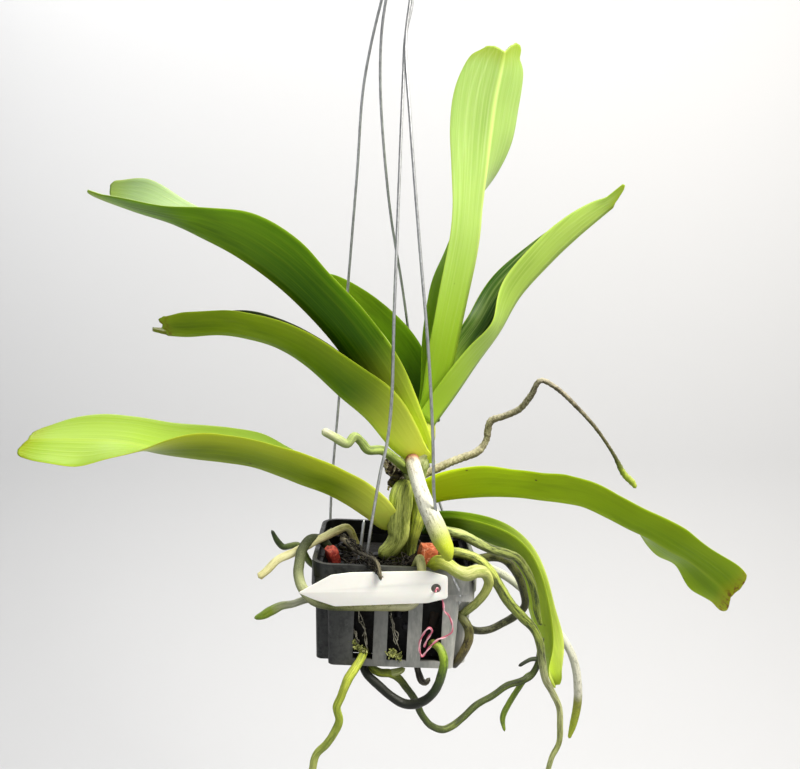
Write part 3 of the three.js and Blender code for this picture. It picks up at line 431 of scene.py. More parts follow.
class Bench:
    """Places shader nodes in one tree and joins them."""

    def __init__(self, tree: bpy.types.NodeTree) -> None:
        """Start work on a tree."""
        self.tree = tree

    def feed(self, node: bpy.types.Node, feeds: dict[int | str, Feed]) -> None:
        """Feed inputs of a node.

        Args:
            node: the node.
            feeds: a value or another node's socket for each input.
        """
        for key, value in feeds.items():
            if isinstance(value, Socket):
                self.tree.links.new(value, node.inputs[key])
            else:
                node.inputs[key].default_value = value

    def place(self, kind: str, feeds: dict[int | str, Feed] | None = None, **settings: Any) -> bpy.types.Node:
        """Place a node.

        Args:
            kind: the node's type without its ShaderNode prefix.
            feeds: a value or another node's socket for each input.
            settings: the node's own settings.

        Returns:
            The node.
        """
        node = self.tree.nodes.new(kind if kind.startswith("Node") else "ShaderNode" + kind)
        for name, value in settings.items():
            setattr(node, name, value)
        self.feed(node, feeds or {})
        return node

    def group(self, shared: Effect, **feeds: Feed) -> bpy.types.Node:
        """Place a shared effect."""
        return self.place("Group", feeds, node_tree=bpy.data.node_groups[shared.value])

    def math(self, operation: str, *feeds: Feed, clamp: bool = False) -> Socket:
        """Work out a value by one operation, clamped to 0 and 1 if wanted."""
        return self.place("Math", dict(enumerate(feeds)), operation=operation, use_clamp=clamp).outputs[0]

    def times(self, first: Feed, second: Feed, clamp: bool = False) -> Socket:
        """Multiply two values."""
        return self.math("MULTIPLY", first, second, clamp=clamp)

    def step(self, value: Feed, start: Feed, end: Feed, low: Feed = 0.0, high: Feed = 1.0) -> Socket:
        """Smooth step of a value, from low before start to high past end."""
        feeds = {"Value": value, "From Min": start, "From Max": end, "To Min": low, "To Max": high}
        return self.place("MapRange", feeds, interpolation_type="SMOOTHSTEP").outputs[0]

    def mix(self, share: Feed, first: Feed, second: Feed) -> Socket:
        """Mix two colours, with a share of the second."""
        return self.place("Mix", {0: share, 6: first, 7: second}, data_type="RGBA").outputs[2]

    def stain(self, base: Feed, tint: Feed, value: Feed, start: float, end: float, strength: float) -> Socket:
        """Lay a tint over a colour where a value passes a step, by the strength."""
        return self.mix(self.step(value, start, end, 0.0, strength), base, tint)

    def grain(self, vector: Feed, size: Feed, detail: float = 3.0, roughness: float = 0.55) -> Socket:
        """Noise round 0.5 over a vector, with its scale, its octaves and how strong the fine ones are."""
        feeds = {"Vector": vector, "Scale": size, "Detail": detail, "Roughness": roughness}
        return self.place("TexNoise", feeds).outputs[0]

    def value(self, name: str, output: str = "Fac") -> Socket:
        """Read a value that the mesh holds."""
        return self.place("Attribute", attribute_name=name).outputs[output]

    def spot(self) -> Socket:
        """The place on the object, in metres."""
        return self.place("TexCoord").outputs["Object"]

    def upward(self) -> Socket:
        """How far the surface faces up, from -1 to 1."""
        return self.place("SeparateXYZ", {0: self.place("NewGeometry").outputs["Normal"]}).outputs[2]

    def scale(self, vector: Feed, factors: Point) -> Socket:
        """Scale a vector by three factors."""
        return self.place("VectorMath", {0: vector, 1: factors}, operation="MULTIPLY").outputs[0]

    def dress(
        self, shader: bpy.types.Node, base: Feed, gloss: Feed, relief: tuple[Feed, float, float]
    ) -> None:
        """Give a shader its colour, its roughness and its relief.

        Args:
            shader: the Principled shader.
            base: its colour.
            gloss: its roughness.
            relief: a height from 0 to 1, what 1 stands for in metres, and its strength.
        """
        height, depth, strength = relief
        bump = self.place("Bump", {"Height": height, "Distance": depth, "Strength": strength})
        self.feed(shader, {"Base Color": base, "Roughness": gloss, "Normal": bump.outputs[0]})


def effect(
    shared: Effect, inputs: dict[str, float | Point], outputs: Sequence[str] = ("Mask",)
) -> tuple[Bench, Any, bpy.types.Node]:
    """Start a shared effect as a node group.

    Args:
        shared: which one.
        inputs: a default for each input, a float or a vector.
        outputs: names of its outputs, which are values.

    Returns:
        A bench in the group, the sockets of its inputs and its output node.
    """
    tree = bpy.data.node_groups.new(shared.value, "ShaderNodeTree")
    for key, default in inputs.items():
        kind = "NodeSocketVector" if isinstance(default, tuple) else "NodeSocketFloat"
        socket = tree.interface.new_socket(name=key, in_out="INPUT", socket_type=kind)
        socket.default_value = default
    for key in outputs:
        tree.interface.new_socket(name=key, in_out="OUTPUT", socket_type="NodeSocketFloat")
    bench = Bench(tree)
    return bench, bench.place("NodeGroupInput").outputs, bench.place("NodeGroupOutput")


def build_flecks() -> None:
    """Irregular flecks: a fine and a coarse noise cut off at a cover, as Mask, and uncut, as Height."""
    inputs = {"Vector": (0.0, 0.0, 0.0), "Scale": 1.0, "Cover": 0.5, "Softness": 0.08}
    bench, given, result = effect(Effect.FLECKS, inputs, ("Mask", "Height"))
    coarse = bench.grain(given["Vector"], given["Scale"], 5.0, 0.65)
    fine = bench.grain(given["Vector"], bench.times(given["Scale"], 4.3), 2.0, 0.5)
    height = bench.math("ADD", bench.times(coarse, 0.72), bench.times(fine, 0.28))
    level = bench.math("SUBTRACT", 1.0, given["Cover"])
    level = bench.math("ADD", bench.times(level, 0.5), 0.25)
    low = bench.math("SUBTRACT", level, given["Softness"])
    high = bench.math("ADD", level, given["Softness"])
    bench.feed(result, {"Mask": bench.step(height, low, high), "Height": height})


def build_veins() -> None:
    """Parallel veins across a blade, uneven in strength. Mask is 1 on a vein."""
    inputs = {"Across": 0.0, "Along": 0.0, "Count": 7.0, "Sharpness": 2.0}
    bench, given, result = effect(Effect.VEINS, inputs)
    turns = bench.times(given["Across"], given["Count"])
    drift = bench.place("CombineXYZ", {0: turns, 1: given["Along"]}).outputs[0]
    sway = bench.grain(bench.scale(drift, (0.6, 1.2, 1.0)), 1.0, 1.0)
    phase = bench.math("ADD", turns, bench.times(sway, 0.5))
    wave = bench.math("COSINE", bench.times(phase, 2 * math.pi))
    line = bench.math("POWER", bench.math("MULTIPLY_ADD", wave, 0.5, 0.5), given["Sharpness"])
    patch = bench.grain(bench.scale(drift, (1.7, 3.0, 1.0)), 1.0, 2.0)
    bench.feed(result, {"Mask": bench.times(line, bench.step(patch, 0.3, 0.65), clamp=True)})


def build_dust() -> None:
    """Dust on what faces up."""
    bench, given, result = effect(Effect.DUST, {"Amount": 0.5, "Scale": 300.0})
    up = bench.upward()
    grains = bench.grain(bench.spot(), given["Scale"], 5.0, 0.7)
    lying = bench.times(bench.step(up, -0.3, 0.9), bench.step(grains, 0.35, 0.65))
    bench.feed(result, {"Mask": bench.times(lying, given["Amount"], clamp=True)})


def build_wear() -> None:
    """Edges rubbed pale, broken up by noise."""
    bench, given, result = effect(Effect.WEAR, {"Amount": 0.5, "Scale": 400.0, "Edge": 0.52})
    bend = bench.place("NewGeometry").outputs["Pointiness"]
    rubbed = bench.step(bend, given["Edge"], bench.math("ADD", given["Edge"], 0.06))
    patches = bench.grain(bench.spot(), given["Scale"], 4.0, 0.6)
    mask = bench.times(rubbed, bench.step(patches, 0.3, 0.6))
    bench.feed(result, {"Mask": bench.times(mask, given["Amount"], clamp=True)})


def shaded(name: str, constants: dict[str, Any]) -> tuple[Material, Bench, bpy.types.Node]:
    """Start a material around one Principled shader.

    Args:
        name: the material's name.
        constants: values of the shader's own sockets.

    Returns:
        The material, a bench in it and the shader node.
    """
    material = bpy.data.materials.new(name)
    material.use_nodes = True
    material.node_tree.nodes.clear()
    bench = Bench(material.node_tree)
    shader = bench.place("BsdfPrincipled", constants)
    bench.place("OutputMaterial", {"Surface": shader.outputs[0]})
    return material, bench, shader


# Finishes


@dataclass(frozen=True)
class LeafFinish:
    """A waxy folded blade with parallel veins, a pale keel and light margins, with painted shade in broad
    patches and painted light toward its margins and on its sheath.
    """

    outer: str
    far: str
    inner: str
    inner_far: str | None = None
    turn: tuple[float, float] = (0.3, 0.85)
    # The sheath at the leaf's base: its own pale colour, brightened as painted light.
    sheath: str = "a9b400"
    sheath_length: float = 0.16
    tip: str = "8fa000"
    keel: str = "b4c63a"
    keel_strength: float = 0.25
    vein: str = "a8c020"
    vein_strength: float = 0.1
    streaks: float = 0.12
    margin: str = "c4d040"
    margin_strength: float = 0.3
    # Painted light: the outer face turns to this colour toward its margins, by the strength below.
    thin: str = "b0c41c"
    margin_light_strength: float = 0.0
    # Painted shade in broad patches, on the outer face and, by inner_shade, on the inner one.
    shade: str = "2c4a00"
    shade_strength: float = 0.4
    inner_shade: float = 0.3
    spot: str = "3d3512"
    spots: float = 0.5
    dried: str = "7a5414"
    scorch: float = 0.0
    glow: float = 0.12

    def build(self, name: str) -> Material:
        """Make the material.

        Args:
            name: its name.

        Returns:
            The material.
        """
        constants = {
            "Subsurface Weight": self.glow,
            "Subsurface Radius": (0.6, 1.0, 0.2),
            "Subsurface Scale": 0.0016,
            "Specular IOR Level": 0.12,
        }
        material, bench, shader = shaded(name, constants)
        length, across, inner = (bench.value(key) for key in ("length_share", "across", "inner"))
        blade = bench.value("blade", "Vector")
        shade, vein = colour(self.shade), colour(self.vein)

        toward_tip = bench.step(length, *self.turn)
        outer = bench.mix(toward_tip, colour(self.outer), colour(self.far))
        within = bench.mix(toward_tip, colour(self.inner), colour(self.inner_far or self.inner))
        base = bench.mix(inner, outer, within)

        # Painted shade: the shade colour in broad patches.
        broad = bench.grain(bench.scale(blade, (0.02, 0.1, 1.0)), 1.0, 3.0)
        depth = bench.math("MULTIPLY_ADD", inner, self.inner_shade - self.shade_strength, self.shade_strength)
        base = bench.mix(bench.times(bench.step(broad, 0.4, 0.7), depth), base, shade)
        streak = bench.grain(bench.scale(blade, (0.012, 1.4, 1.0)), 1.0, 4.0, 0.6)
        base = bench.stain(base, vein, streak, 0.45, 0.75, self.streaks)
        base = bench.stain(base, shade, streak, 0.5, 0.25, self.streaks)
        veins = bench.group(Effect.VEINS, Across=across, Along=length, Count=6.0, Sharpness=2.5)
        lines = veins.outputs["Mask"]
        base = bench.mix(bench.times(lines, self.vein_strength), base, vein)

        side = bench.math("ABSOLUTE", across)
        # Painted light: the outer face pales toward its margins.
        thin = bench.step(side, 0.35, 1.0, 0.0, self.margin_light_strength)
        base = bench.mix(bench.times(thin, bench.step(inner, 1.0, 0.0)), base, colour(self.thin))
        base = bench.stain(base, colour(self.keel), side, 0.09, 0.0, self.keel_strength)
        base = bench.stain(base, colour(self.margin), side, 0.965, 1.0, self.margin_strength)
        # The sheath at the base: its pale colour, brightened as painted light.
        sheathed = bench.step(length, self.sheath_length, 0.3 * self.sheath_length, 0.0, 0.92)
        base = bench.mix(sheathed, base, colour(self.sheath))
        base = bench.stain(base, colour(self.tip), length, 0.94, 1.0, 0.6)

        cells = bench.scale(blade, (0.1, 0.16, 1.0))
        dots = bench.place("TexVoronoi", {"Vector": cells, "Scale": 1.0, "Randomness": 1.0})
        lone = bench.place("SeparateColor", {0: dots.outputs["Color"]}).outputs[0]
        spotted = bench.step(dots.outputs["Distance"], 0.09, 0.03)
        spotted = bench.times(bench.times(spotted, bench.step(lone, 0.8, 0.84)), self.spots)
        base = bench.mix(spotted, base, colour(self.spot))
        patch = bench.grain(bench.scale(blade, (0.5, 0.5, 1.0)), 1.0, 3.0)
        dried = bench.step(patch, 0.48, 0.6)
        dried = bench.times(dried, bench.step(length, 0.965, 0.995, 0.0, self.scorch))
        base = bench.mix(dried, base, colour(self.dried))

        gloss = bench.step(streak, 0.3, 0.7, 0.3, 0.46)
        height = bench.math("ADD", bench.times(lines, 0.5), bench.times(streak, 0.6))
        bench.dress(shader, base, gloss, (height, 0.00018, 0.55))
        return material


@dataclass(frozen=True)
class RootFinish:
    """Velamen: a chalky coat in patches over green, marked along the root, with painted light on what faces
    up and painted shade on what faces down.
    """

    name: str
    cover: float = 0.5
    softness: float = 0.07
    scale: float = 0.55
    stretch: float = 0.45
    roughness: float = 0.72
    relief: float = 0.0003
    glow: float = 0.05
    chalk: float = 0.45
    streaks: float = 0.5
    # Painted light on what faces up and painted shade on what faces down.
    lit_above: float = 0.08
    shaded_below: float = 0.75

    def build(self) -> Material:
        """Make the material.

        Returns:
            The material.
        """
        constants = {
            "Subsurface Weight": self.glow,
            "Subsurface Radius": (1.0, 1.0, 0.5),
            "Subsurface Scale": 0.0008,
            "Specular IOR Level": 0.35,
        }
        material, bench, shader = shaded(self.name, constants)
        straight = bench.value("straight", "Vector")
        tint, fleck = bench.value("tint", "Color"), bench.value("fleck", "Color")

        drawn = bench.scale(straight, (1.0, 1.0, self.stretch))
        feeds = {"Scale": self.scale, "Cover": self.cover, "Softness": self.softness}
        patches = bench.group(Effect.FLECKS, Vector=drawn, **feeds)
        base = bench.mix(patches.outputs["Mask"], tint, fleck)
        pores = bench.grain(bench.scale(straight, (1.0, 1.0, 0.7)), 3.2, 3.0, 0.6)
        base = bench.stain(base, fleck, pores, 0.56, 0.7, 0.55)
        chalk = bench.mix(self.chalk, tint, (1.0, 1.0, 0.9, 1.0))
        base = bench.stain(base, chalk, pores, 0.44, 0.3, 0.35)
        lines = bench.grain(bench.scale(straight, (1.6, 1.6, 0.06)), 1.0, 3.0, 0.6)
        base = bench.stain(base, fleck, lines, 0.5, 0.68, self.streaks)

        # Painted light: paler on what faces up. Painted shade: darker on what faces down.
        up = bench.upward()
        pale = bench.mix(0.35, tint, (1.0, 1.0, 0.85, 1.0))
        base = bench.stain(base, pale, up, 0.1, 0.9, self.lit_above)
        underside_shade = bench.mix(0.45, fleck, (0.0, 0.0, 0.0, 1.0))
        base = bench.stain(base, underside_shade, up, 0.25, -0.75, self.shaded_below)

        gloss = bench.step(patches.outputs["Mask"], 0.0, 1.0, self.roughness, self.roughness - 0.18)
        height = bench.math("ADD", patches.outputs["Height"], bench.times(pores, 0.7))
        bench.dress(shader, base, gloss, (height, self.relief, 0.8))
        return material


@dataclass(frozen=True)
class LooseFinish:
    """A dull broken surface in three colours, for bark, charcoal, brick, dead tissue and moss."""

    name: str
    main: str
    dark: str
    light: str
    size: float = 350.0
    light_cover: float = 0.25
    roughness: float = 0.85
    relief: float = 0.0005

    def build(self) -> Material:
        """Make the material.

        Returns:
            The material.
        """
        material, bench, shader = shaded(self.name, {"Specular IOR Level": 0.3})
        spot = bench.spot()
        broad = bench.grain(spot, self.size, 4.0, 0.65)
        base = bench.mix(bench.step(broad, 0.38, 0.62), colour(self.dark), colour(self.main))
        fine = self.size * 1.7
        light = bench.group(Effect.FLECKS, Vector=spot, Scale=fine, Cover=self.light_cover, Softness=0.05)
        base = bench.mix(light.outputs["Mask"], base, colour(self.light))
        dust = bench.group(Effect.DUST, Amount=0.25, Scale=500.0).outputs[0]
        base = bench.mix(dust, base, colour(self.light))
        gloss = bench.step(broad, 0.3, 0.7, self.roughness - 0.3, self.roughness)
        height = bench.math("ADD", broad, bench.times(light.outputs["Height"], 0.6))
        bench.dress(shader, base, gloss, (height, self.relief, 0.9))
        return material


@dataclass(frozen=True)
class BasketFinish:
    """Charcoal moulded plastic, scuffed on its ribs and corners, with dried salts. Painted light turns it
    from black on its left to pale grey on its right, and its inside is painted black as shade. Places are
    metres in the row frame."""

    # The plastic and its scuffs on the dark left, then the same in painted light on the right; then salts,
    # dust and the inside's painted shade.
    base: str = "030404"
    lit_grey: str = "9ca09a"
    scuff: str = "171c1e"
    chalky: str = "e4e0d8"
    salt: str = "a8aaa4"
    dusty: str = "4c4e42"
    unlit: str = "050605"
    # The painted light rises over these places from left to right, in metres, and shifts at the rim's height.
    light_start: float = -0.046
    light_end: float = 0.028
    rim_level: float = -0.366
    rim_shift: float = 0.013

    def build(self) -> Material:
        """Make the material.

        Returns:
            The material.
        """
        material, bench, shader = shaded("scuffed_basket_plastic", {"Specular IOR Level": 0.34})
        spot = bench.spot()
        drawn = bench.scale(spot, (1.0, 1.0, 0.35))
        scuffs = bench.group(Effect.FLECKS, Vector=drawn, Scale=190.0, Cover=0.48, Softness=0.2)
        # Painted light: black on the left turning pale grey on the right, with the scuffs and salts following
        # it, shifted at the rim.
        right, _, height = bench.place("SeparateXYZ", {0: spot}).outputs
        rim = bench.step(height, self.rim_level - 0.003, self.rim_level + 0.003, 0.0, self.rim_shift)
        painted_light = bench.step(bench.math("SUBTRACT", right, rim), self.light_start, self.light_end)
        worn = bench.mix(painted_light, colour(self.scuff), colour(self.chalky))
        base = bench.mix(painted_light, colour(self.base), colour(self.lit_grey))
        base = bench.mix(bench.times(scuffs.outputs["Mask"], 0.6), base, worn)
        scratch = bench.grain(bench.scale(spot, (3.0, 3.0, 0.25)), 700.0, 3.0, 0.7)
        base = bench.stain(base, worn, scratch, 0.56, 0.72, 0.5)
        edge = bench.group(Effect.WEAR, Amount=0.07, Scale=380.0).outputs[0]
        base = bench.mix(edge, base, colour(self.salt))
        salts = bench.group(Effect.FLECKS, Vector=spot, Scale=420.0, Cover=0.27, Softness=0.05)
        salty = bench.times(salts.outputs["Mask"], bench.step(painted_light, 0.0, 1.0, 0.06, 0.3))
        base = bench.mix(salty, base, colour(self.salt))
        dust = bench.group(Effect.DUST, Amount=0.12, Scale=260.0).outputs[0]
        base = bench.mix(dust, base, colour(self.dusty))
        # Painted shade: the inside is black.
        base = bench.mix(bench.value("inside"), base, colour(self.unlit))
        gloss = bench.step(scuffs.outputs["Mask"], 0.0, 1.0, 0.28, 0.6)
        bench.dress(shader, base, gloss, (scuffs.outputs["Height"], 0.00025, 0.5))
        return material


@dataclass(frozen=True)
class WireFinish:
    """Dull galvanised steel, spangled, with a few rusty spots."""

    bright: str = "c8cacb"
    dull: str = "9a9c9e"
    rusty: str = "5a4632"

    def build(self) -> Material:
        """Make the material.

        Returns:
            The material.
        """
        material, bench, shader = shaded("dull_galvanised_wire", {"Metallic": 0.85})
        spot = bench.scale(bench.spot(), (1.0, 1.0, 0.3))
        zinc = bench.group(Effect.FLECKS, Vector=spot, Scale=700.0, Cover=0.45, Softness=0.12)
        base = bench.mix(zinc.outputs["Mask"], colour(self.bright), colour(self.dull))
        rust = bench.group(Effect.FLECKS, Vector=spot, Scale=260.0, Cover=0.12, Softness=0.05)
        base = bench.mix(bench.times(rust.outputs["Mask"], 0.5), base, colour(self.rusty))
        gloss = bench.step(zinc.outputs["Height"], 0.3, 0.7, 0.3, 0.5)
        bench.dress(shader, base, gloss, (zinc.outputs["Height"], 0.00008, 0.5))
        return material


@dataclass(frozen=True)
class TagFinish:
    """Cream plastic sheet, faintly soiled."""

    cream: str = "fffef6"
    soil: str = "cfc8a8"

    def build(self) -> Material:
        """Make the material.

        Returns:
            The material.
        """
        constants = {"Subsurface Weight": 0.1, "Subsurface Scale": 0.001, "Specular IOR Level": 0.45}
        material, bench, shader = shaded("cream_tag_plastic", constants)
        spot = bench.spot()
        soil = bench.group(Effect.FLECKS, Vector=spot, Scale=90.0, Cover=0.35, Softness=0.2)
        base = bench.mix(bench.times(soil.outputs["Mask"], 0.1), colour(self.cream), colour(self.soil))
        specks = bench.group(Effect.FLECKS, Vector=spot, Scale=900.0, Cover=0.12, Softness=0.03)
        base = bench.mix(bench.times(specks.outputs["Mask"], 0.3), base, colour(self.soil))
        wear = bench.group(Effect.WEAR, Amount=0.35, Scale=300.0).outputs[0]
        base = bench.mix(wear, base, colour(self.soil))
        gloss = bench.step(soil.outputs["Height"], 0.3, 0.7, 0.34, 0.5)
        bench.dress(shader, base, gloss, (soil.outputs["Height"], 0.00006, 0.3))
        return material


# Leaves


def sheet_faces(rows: int, columns: int) -> Faces:
    """Faces of a closed sheet: a grid, a second grid behind it and the rim that joins them.

    Args:
        rows: lines of points in each grid.
        columns: points in each line.

    Returns:
        Faces by point number.
    """
    behind = rows * columns
    faces = []
    for level in range(rows - 1):
        for k in range(columns - 1):
            a = level * columns + k
            b, c, d = a + 1, a + columns + 1, a + columns
            faces += [(a, b, c, d), (behind + a, behind + d, behind + c, behind + b)]
    for level in range(rows - 1):
        for a in (level * columns, level * columns + columns - 1):
            faces.append((a, a + columns, behind + a + columns, behind + a))
    for k in range(columns - 1):
        for a in (k, (rows - 1) * columns + k):
            faces.append((a, a + 1, behind + a + 1, behind + a))
    return faces


@dataclass(frozen=True)
class Blade:
    """One folded leaf. Rows are stations along its keel: x, y, z, half width, and the angles by
    which the near and the far half stand forward of the picture plane, in degrees."""

    node: str
    rank: Rank
    rows: tuple[Point, ...]
    lobes: tuple[float, float]
    rounding: float
    cup: float
    finish: LeafFinish
    slot: Slot = Slot.LEAF
    keel: float = 1.5
    margin: float = 0.8
    steps: int = 110
    columns: int = 13
    samples: int = 16
    arcs: int = 8
    ragged: float = 0.6
    ripple: float = 0.5
    ripple_length: float = 9.0
    seed: int = 0

    @cached_property
    def curve(self) -> tuple[np.ndarray, np.ndarray]:
        """A smooth curve through the rows.

        Returns:
            Fine rows and the distance of each along the keel.
        """
        rows = np.asarray(self.rows, float)
        rows = np.vstack([2 * rows[0] - rows[1], rows, 2 * rows[-1] - rows[-2]])
        fine = []
        for i in range(1, len(rows) - 2):
            p0, p1, p2, p3 = rows[i - 1 : i + 3]
            for t in np.arange(self.samples) / self.samples:
                bend = 2 * p0 - 5 * p1 + 4 * p2 - p3 + t * (3 * p1 - p0 - 3 * p2 + p3)
                fine.append(p1 + 0.5 * t * (p2 - p0 + t * bend))
        fine.append(rows[-2])
        table = np.array(fine)
        return table, distances(table[:, :3])

    def rows_at(self, places: np.ndarray) -> np.ndarray:
        """Rows at distances along the keel, which runs on straight past its tip.

        Args:
            places: the distances, in millimetres.

        Returns:
            A row for each place.
        """
        table, distance = self.curve
        length = distance[-1]
        inside = np.clip(places, 0, length)
        rows = np.stack([np.interp(inside, distance, table[:, k]) for k in range(6)], axis=-1)
        slope = (table[-1, :3] - table[-2, :3]) / (distance[-1] - distance[-2])
        rows[:, :3] += np.maximum(places - length, 0)[:, None] * slope
        return rows

    def places(self, shares: np.ndarray, side: float) -> np.ndarray:
        """How far along the keel each point of a line stands, with the tip's two lobes and its tear.

        Args:
            shares: the places along the blade, from 0 to 1.
            side: the place across it, from -1 to 1.

        Returns:
            The distances, in millimetres.
        """
        lobe = self.lobes[0 if side > 0 else 1]
        reach = lobe * (1 - (1 - abs(side)) ** 1.6) - self.rounding * abs(side) ** 5
        tear = noise.noise(Vector((side * 6.0, self.seed * 3.7, 0.5)))
        return shares * self.curve[1][-1] + reach * shares**6 + self.ragged * tear * shares**30

    def section(self, shares: np.ndarray, side: float, inner: bool) -> tuple[np.ndarray, np.ndarray]:
        """Lay one line of points along the blade.

        Args:
            shares: the places along the blade, from 0 to 1.
            side: the place across it, from -1 at the far margin to 1 at the near one.
            inner: whether the line lies on the face inside the fold.

        Returns:
            The points, and each one's distance from the keel in millimetres.
        """
        places = self.places(shares, side)
        rows, probe = self.rows_at(places), 0.4
        tangent = self.rows_at(places + probe)[:, :3] - self.rows_at(np.maximum(places - probe, 0))[:, :3]
        tangent /= np.linalg.norm(tangent, axis=1)[:, None]
        viewer = np.array([0.0, -1.0, 0.0])
        forward = viewer - (tangent @ viewer)[:, None] * tangent
        forward /= np.linalg.norm(forward, axis=1)[:, None]
        across = np.cross(tangent, forward) * self.rank.value

        near, far = np.radians(rows[:, 4]), np.radians(rows[:, 5])
        opening, bisector = (near - far) / 2, (near + far) / 2
        into = np.cos(bisector)[:, None] * across + np.sin(bisector)[:, None] * forward
        half, out = rows[:, 3], abs(side)
        thickness = self.keel + (self.margin - self.keel) * out
        crease = np.minimum(self.keel / 2 / np.maximum(np.sin(opening), 0.05), 0.24 * half)
        spread = np.full(len(shares), out)
        if inner:
            start = crease * np.maximum(np.cos(opening), 0) / half
            spread = start + (1 - start) * out

        turn = 1 if side > 0 else -1
        fold, cup = near if side > 0 else far, math.radians(self.cup) * turn
        points = rows[:, :3].copy()
        for arc in range(self.arcs):
            angle = fold - cup * ((arc + 0.5) / self.arcs * spread - 0.5)
            piece = (half * spread / self.arcs)[:, None]
            points += (np.cos(angle)[:, None] * across + np.sin(angle)[:, None] * forward) * piece
        normal = (turn * np.sin(angle))[:, None] * across + (-turn * np.cos(angle))[:, None] * forward

        edge = math.sqrt(max(1 - fade(out, 0.93, 1.0) ** 2, 0.04))
        body = thickness / 2 * edge
        if side == 0 and inner:
            points = rows[:, :3] + into * (crease * 1.02)[:, None]
        elif side == 0:
            points = rows[:, :3] - into * 0.72 * thickness
        elif inner:
            room = np.minimum(body, 0.8 * spread * half * np.sin(opening))
            points = points + normal * room[:, None]
        else:
            points = points - normal * body
        phase = places / self.ripple_length + self.seed + (0 if side > 0 else 2.1)
        wave = self.ripple * out**3 * np.sin(phase) * fade(shares, 0.15, 0.4)
        return points + normal * wave[:, None], half * spread

    def build(self) -> None:
        """Make the leaf."""
        shares = 1 - (1 - np.linspace(0, 1, self.steps)) ** 1.15
        sides = np.sin(np.linspace(-1, 1, 2 * self.columns + 1) * math.pi / 2)
        grids, spreads = [], []
        for inner in (False, True):
            lines = [self.section(shares, float(side), inner) for side in sides]
            grids.append(np.stack([points for points, _ in lines], axis=1).reshape(-1, 3))
            spreads.append(np.stack([spread for _, spread in lines], axis=1).ravel())
        rows, columns = len(shares), len(sides)
        length_share = np.tile(np.repeat(shares, columns), 2)
        across = np.tile(sides, 2 * rows)
        inside = np.repeat([0.0, 1.0], rows * columns)
        signed = np.concatenate(spreads) * np.sign(across)
        length = self.curve[1][-1]
        flat = np.column_stack([length_share * length, signed, inside * 30 + self.seed * 11.0])
        skin = Skin()
        skin.add(
            np.vstack(grids), sheet_faces(rows, columns),
            length_share=length_share, across=across, inner=inside, blade=flat,
        )
        skin.build(self.node + "_blade", self.finish.build(self.node + "_wax"), self.slot, [self.node])


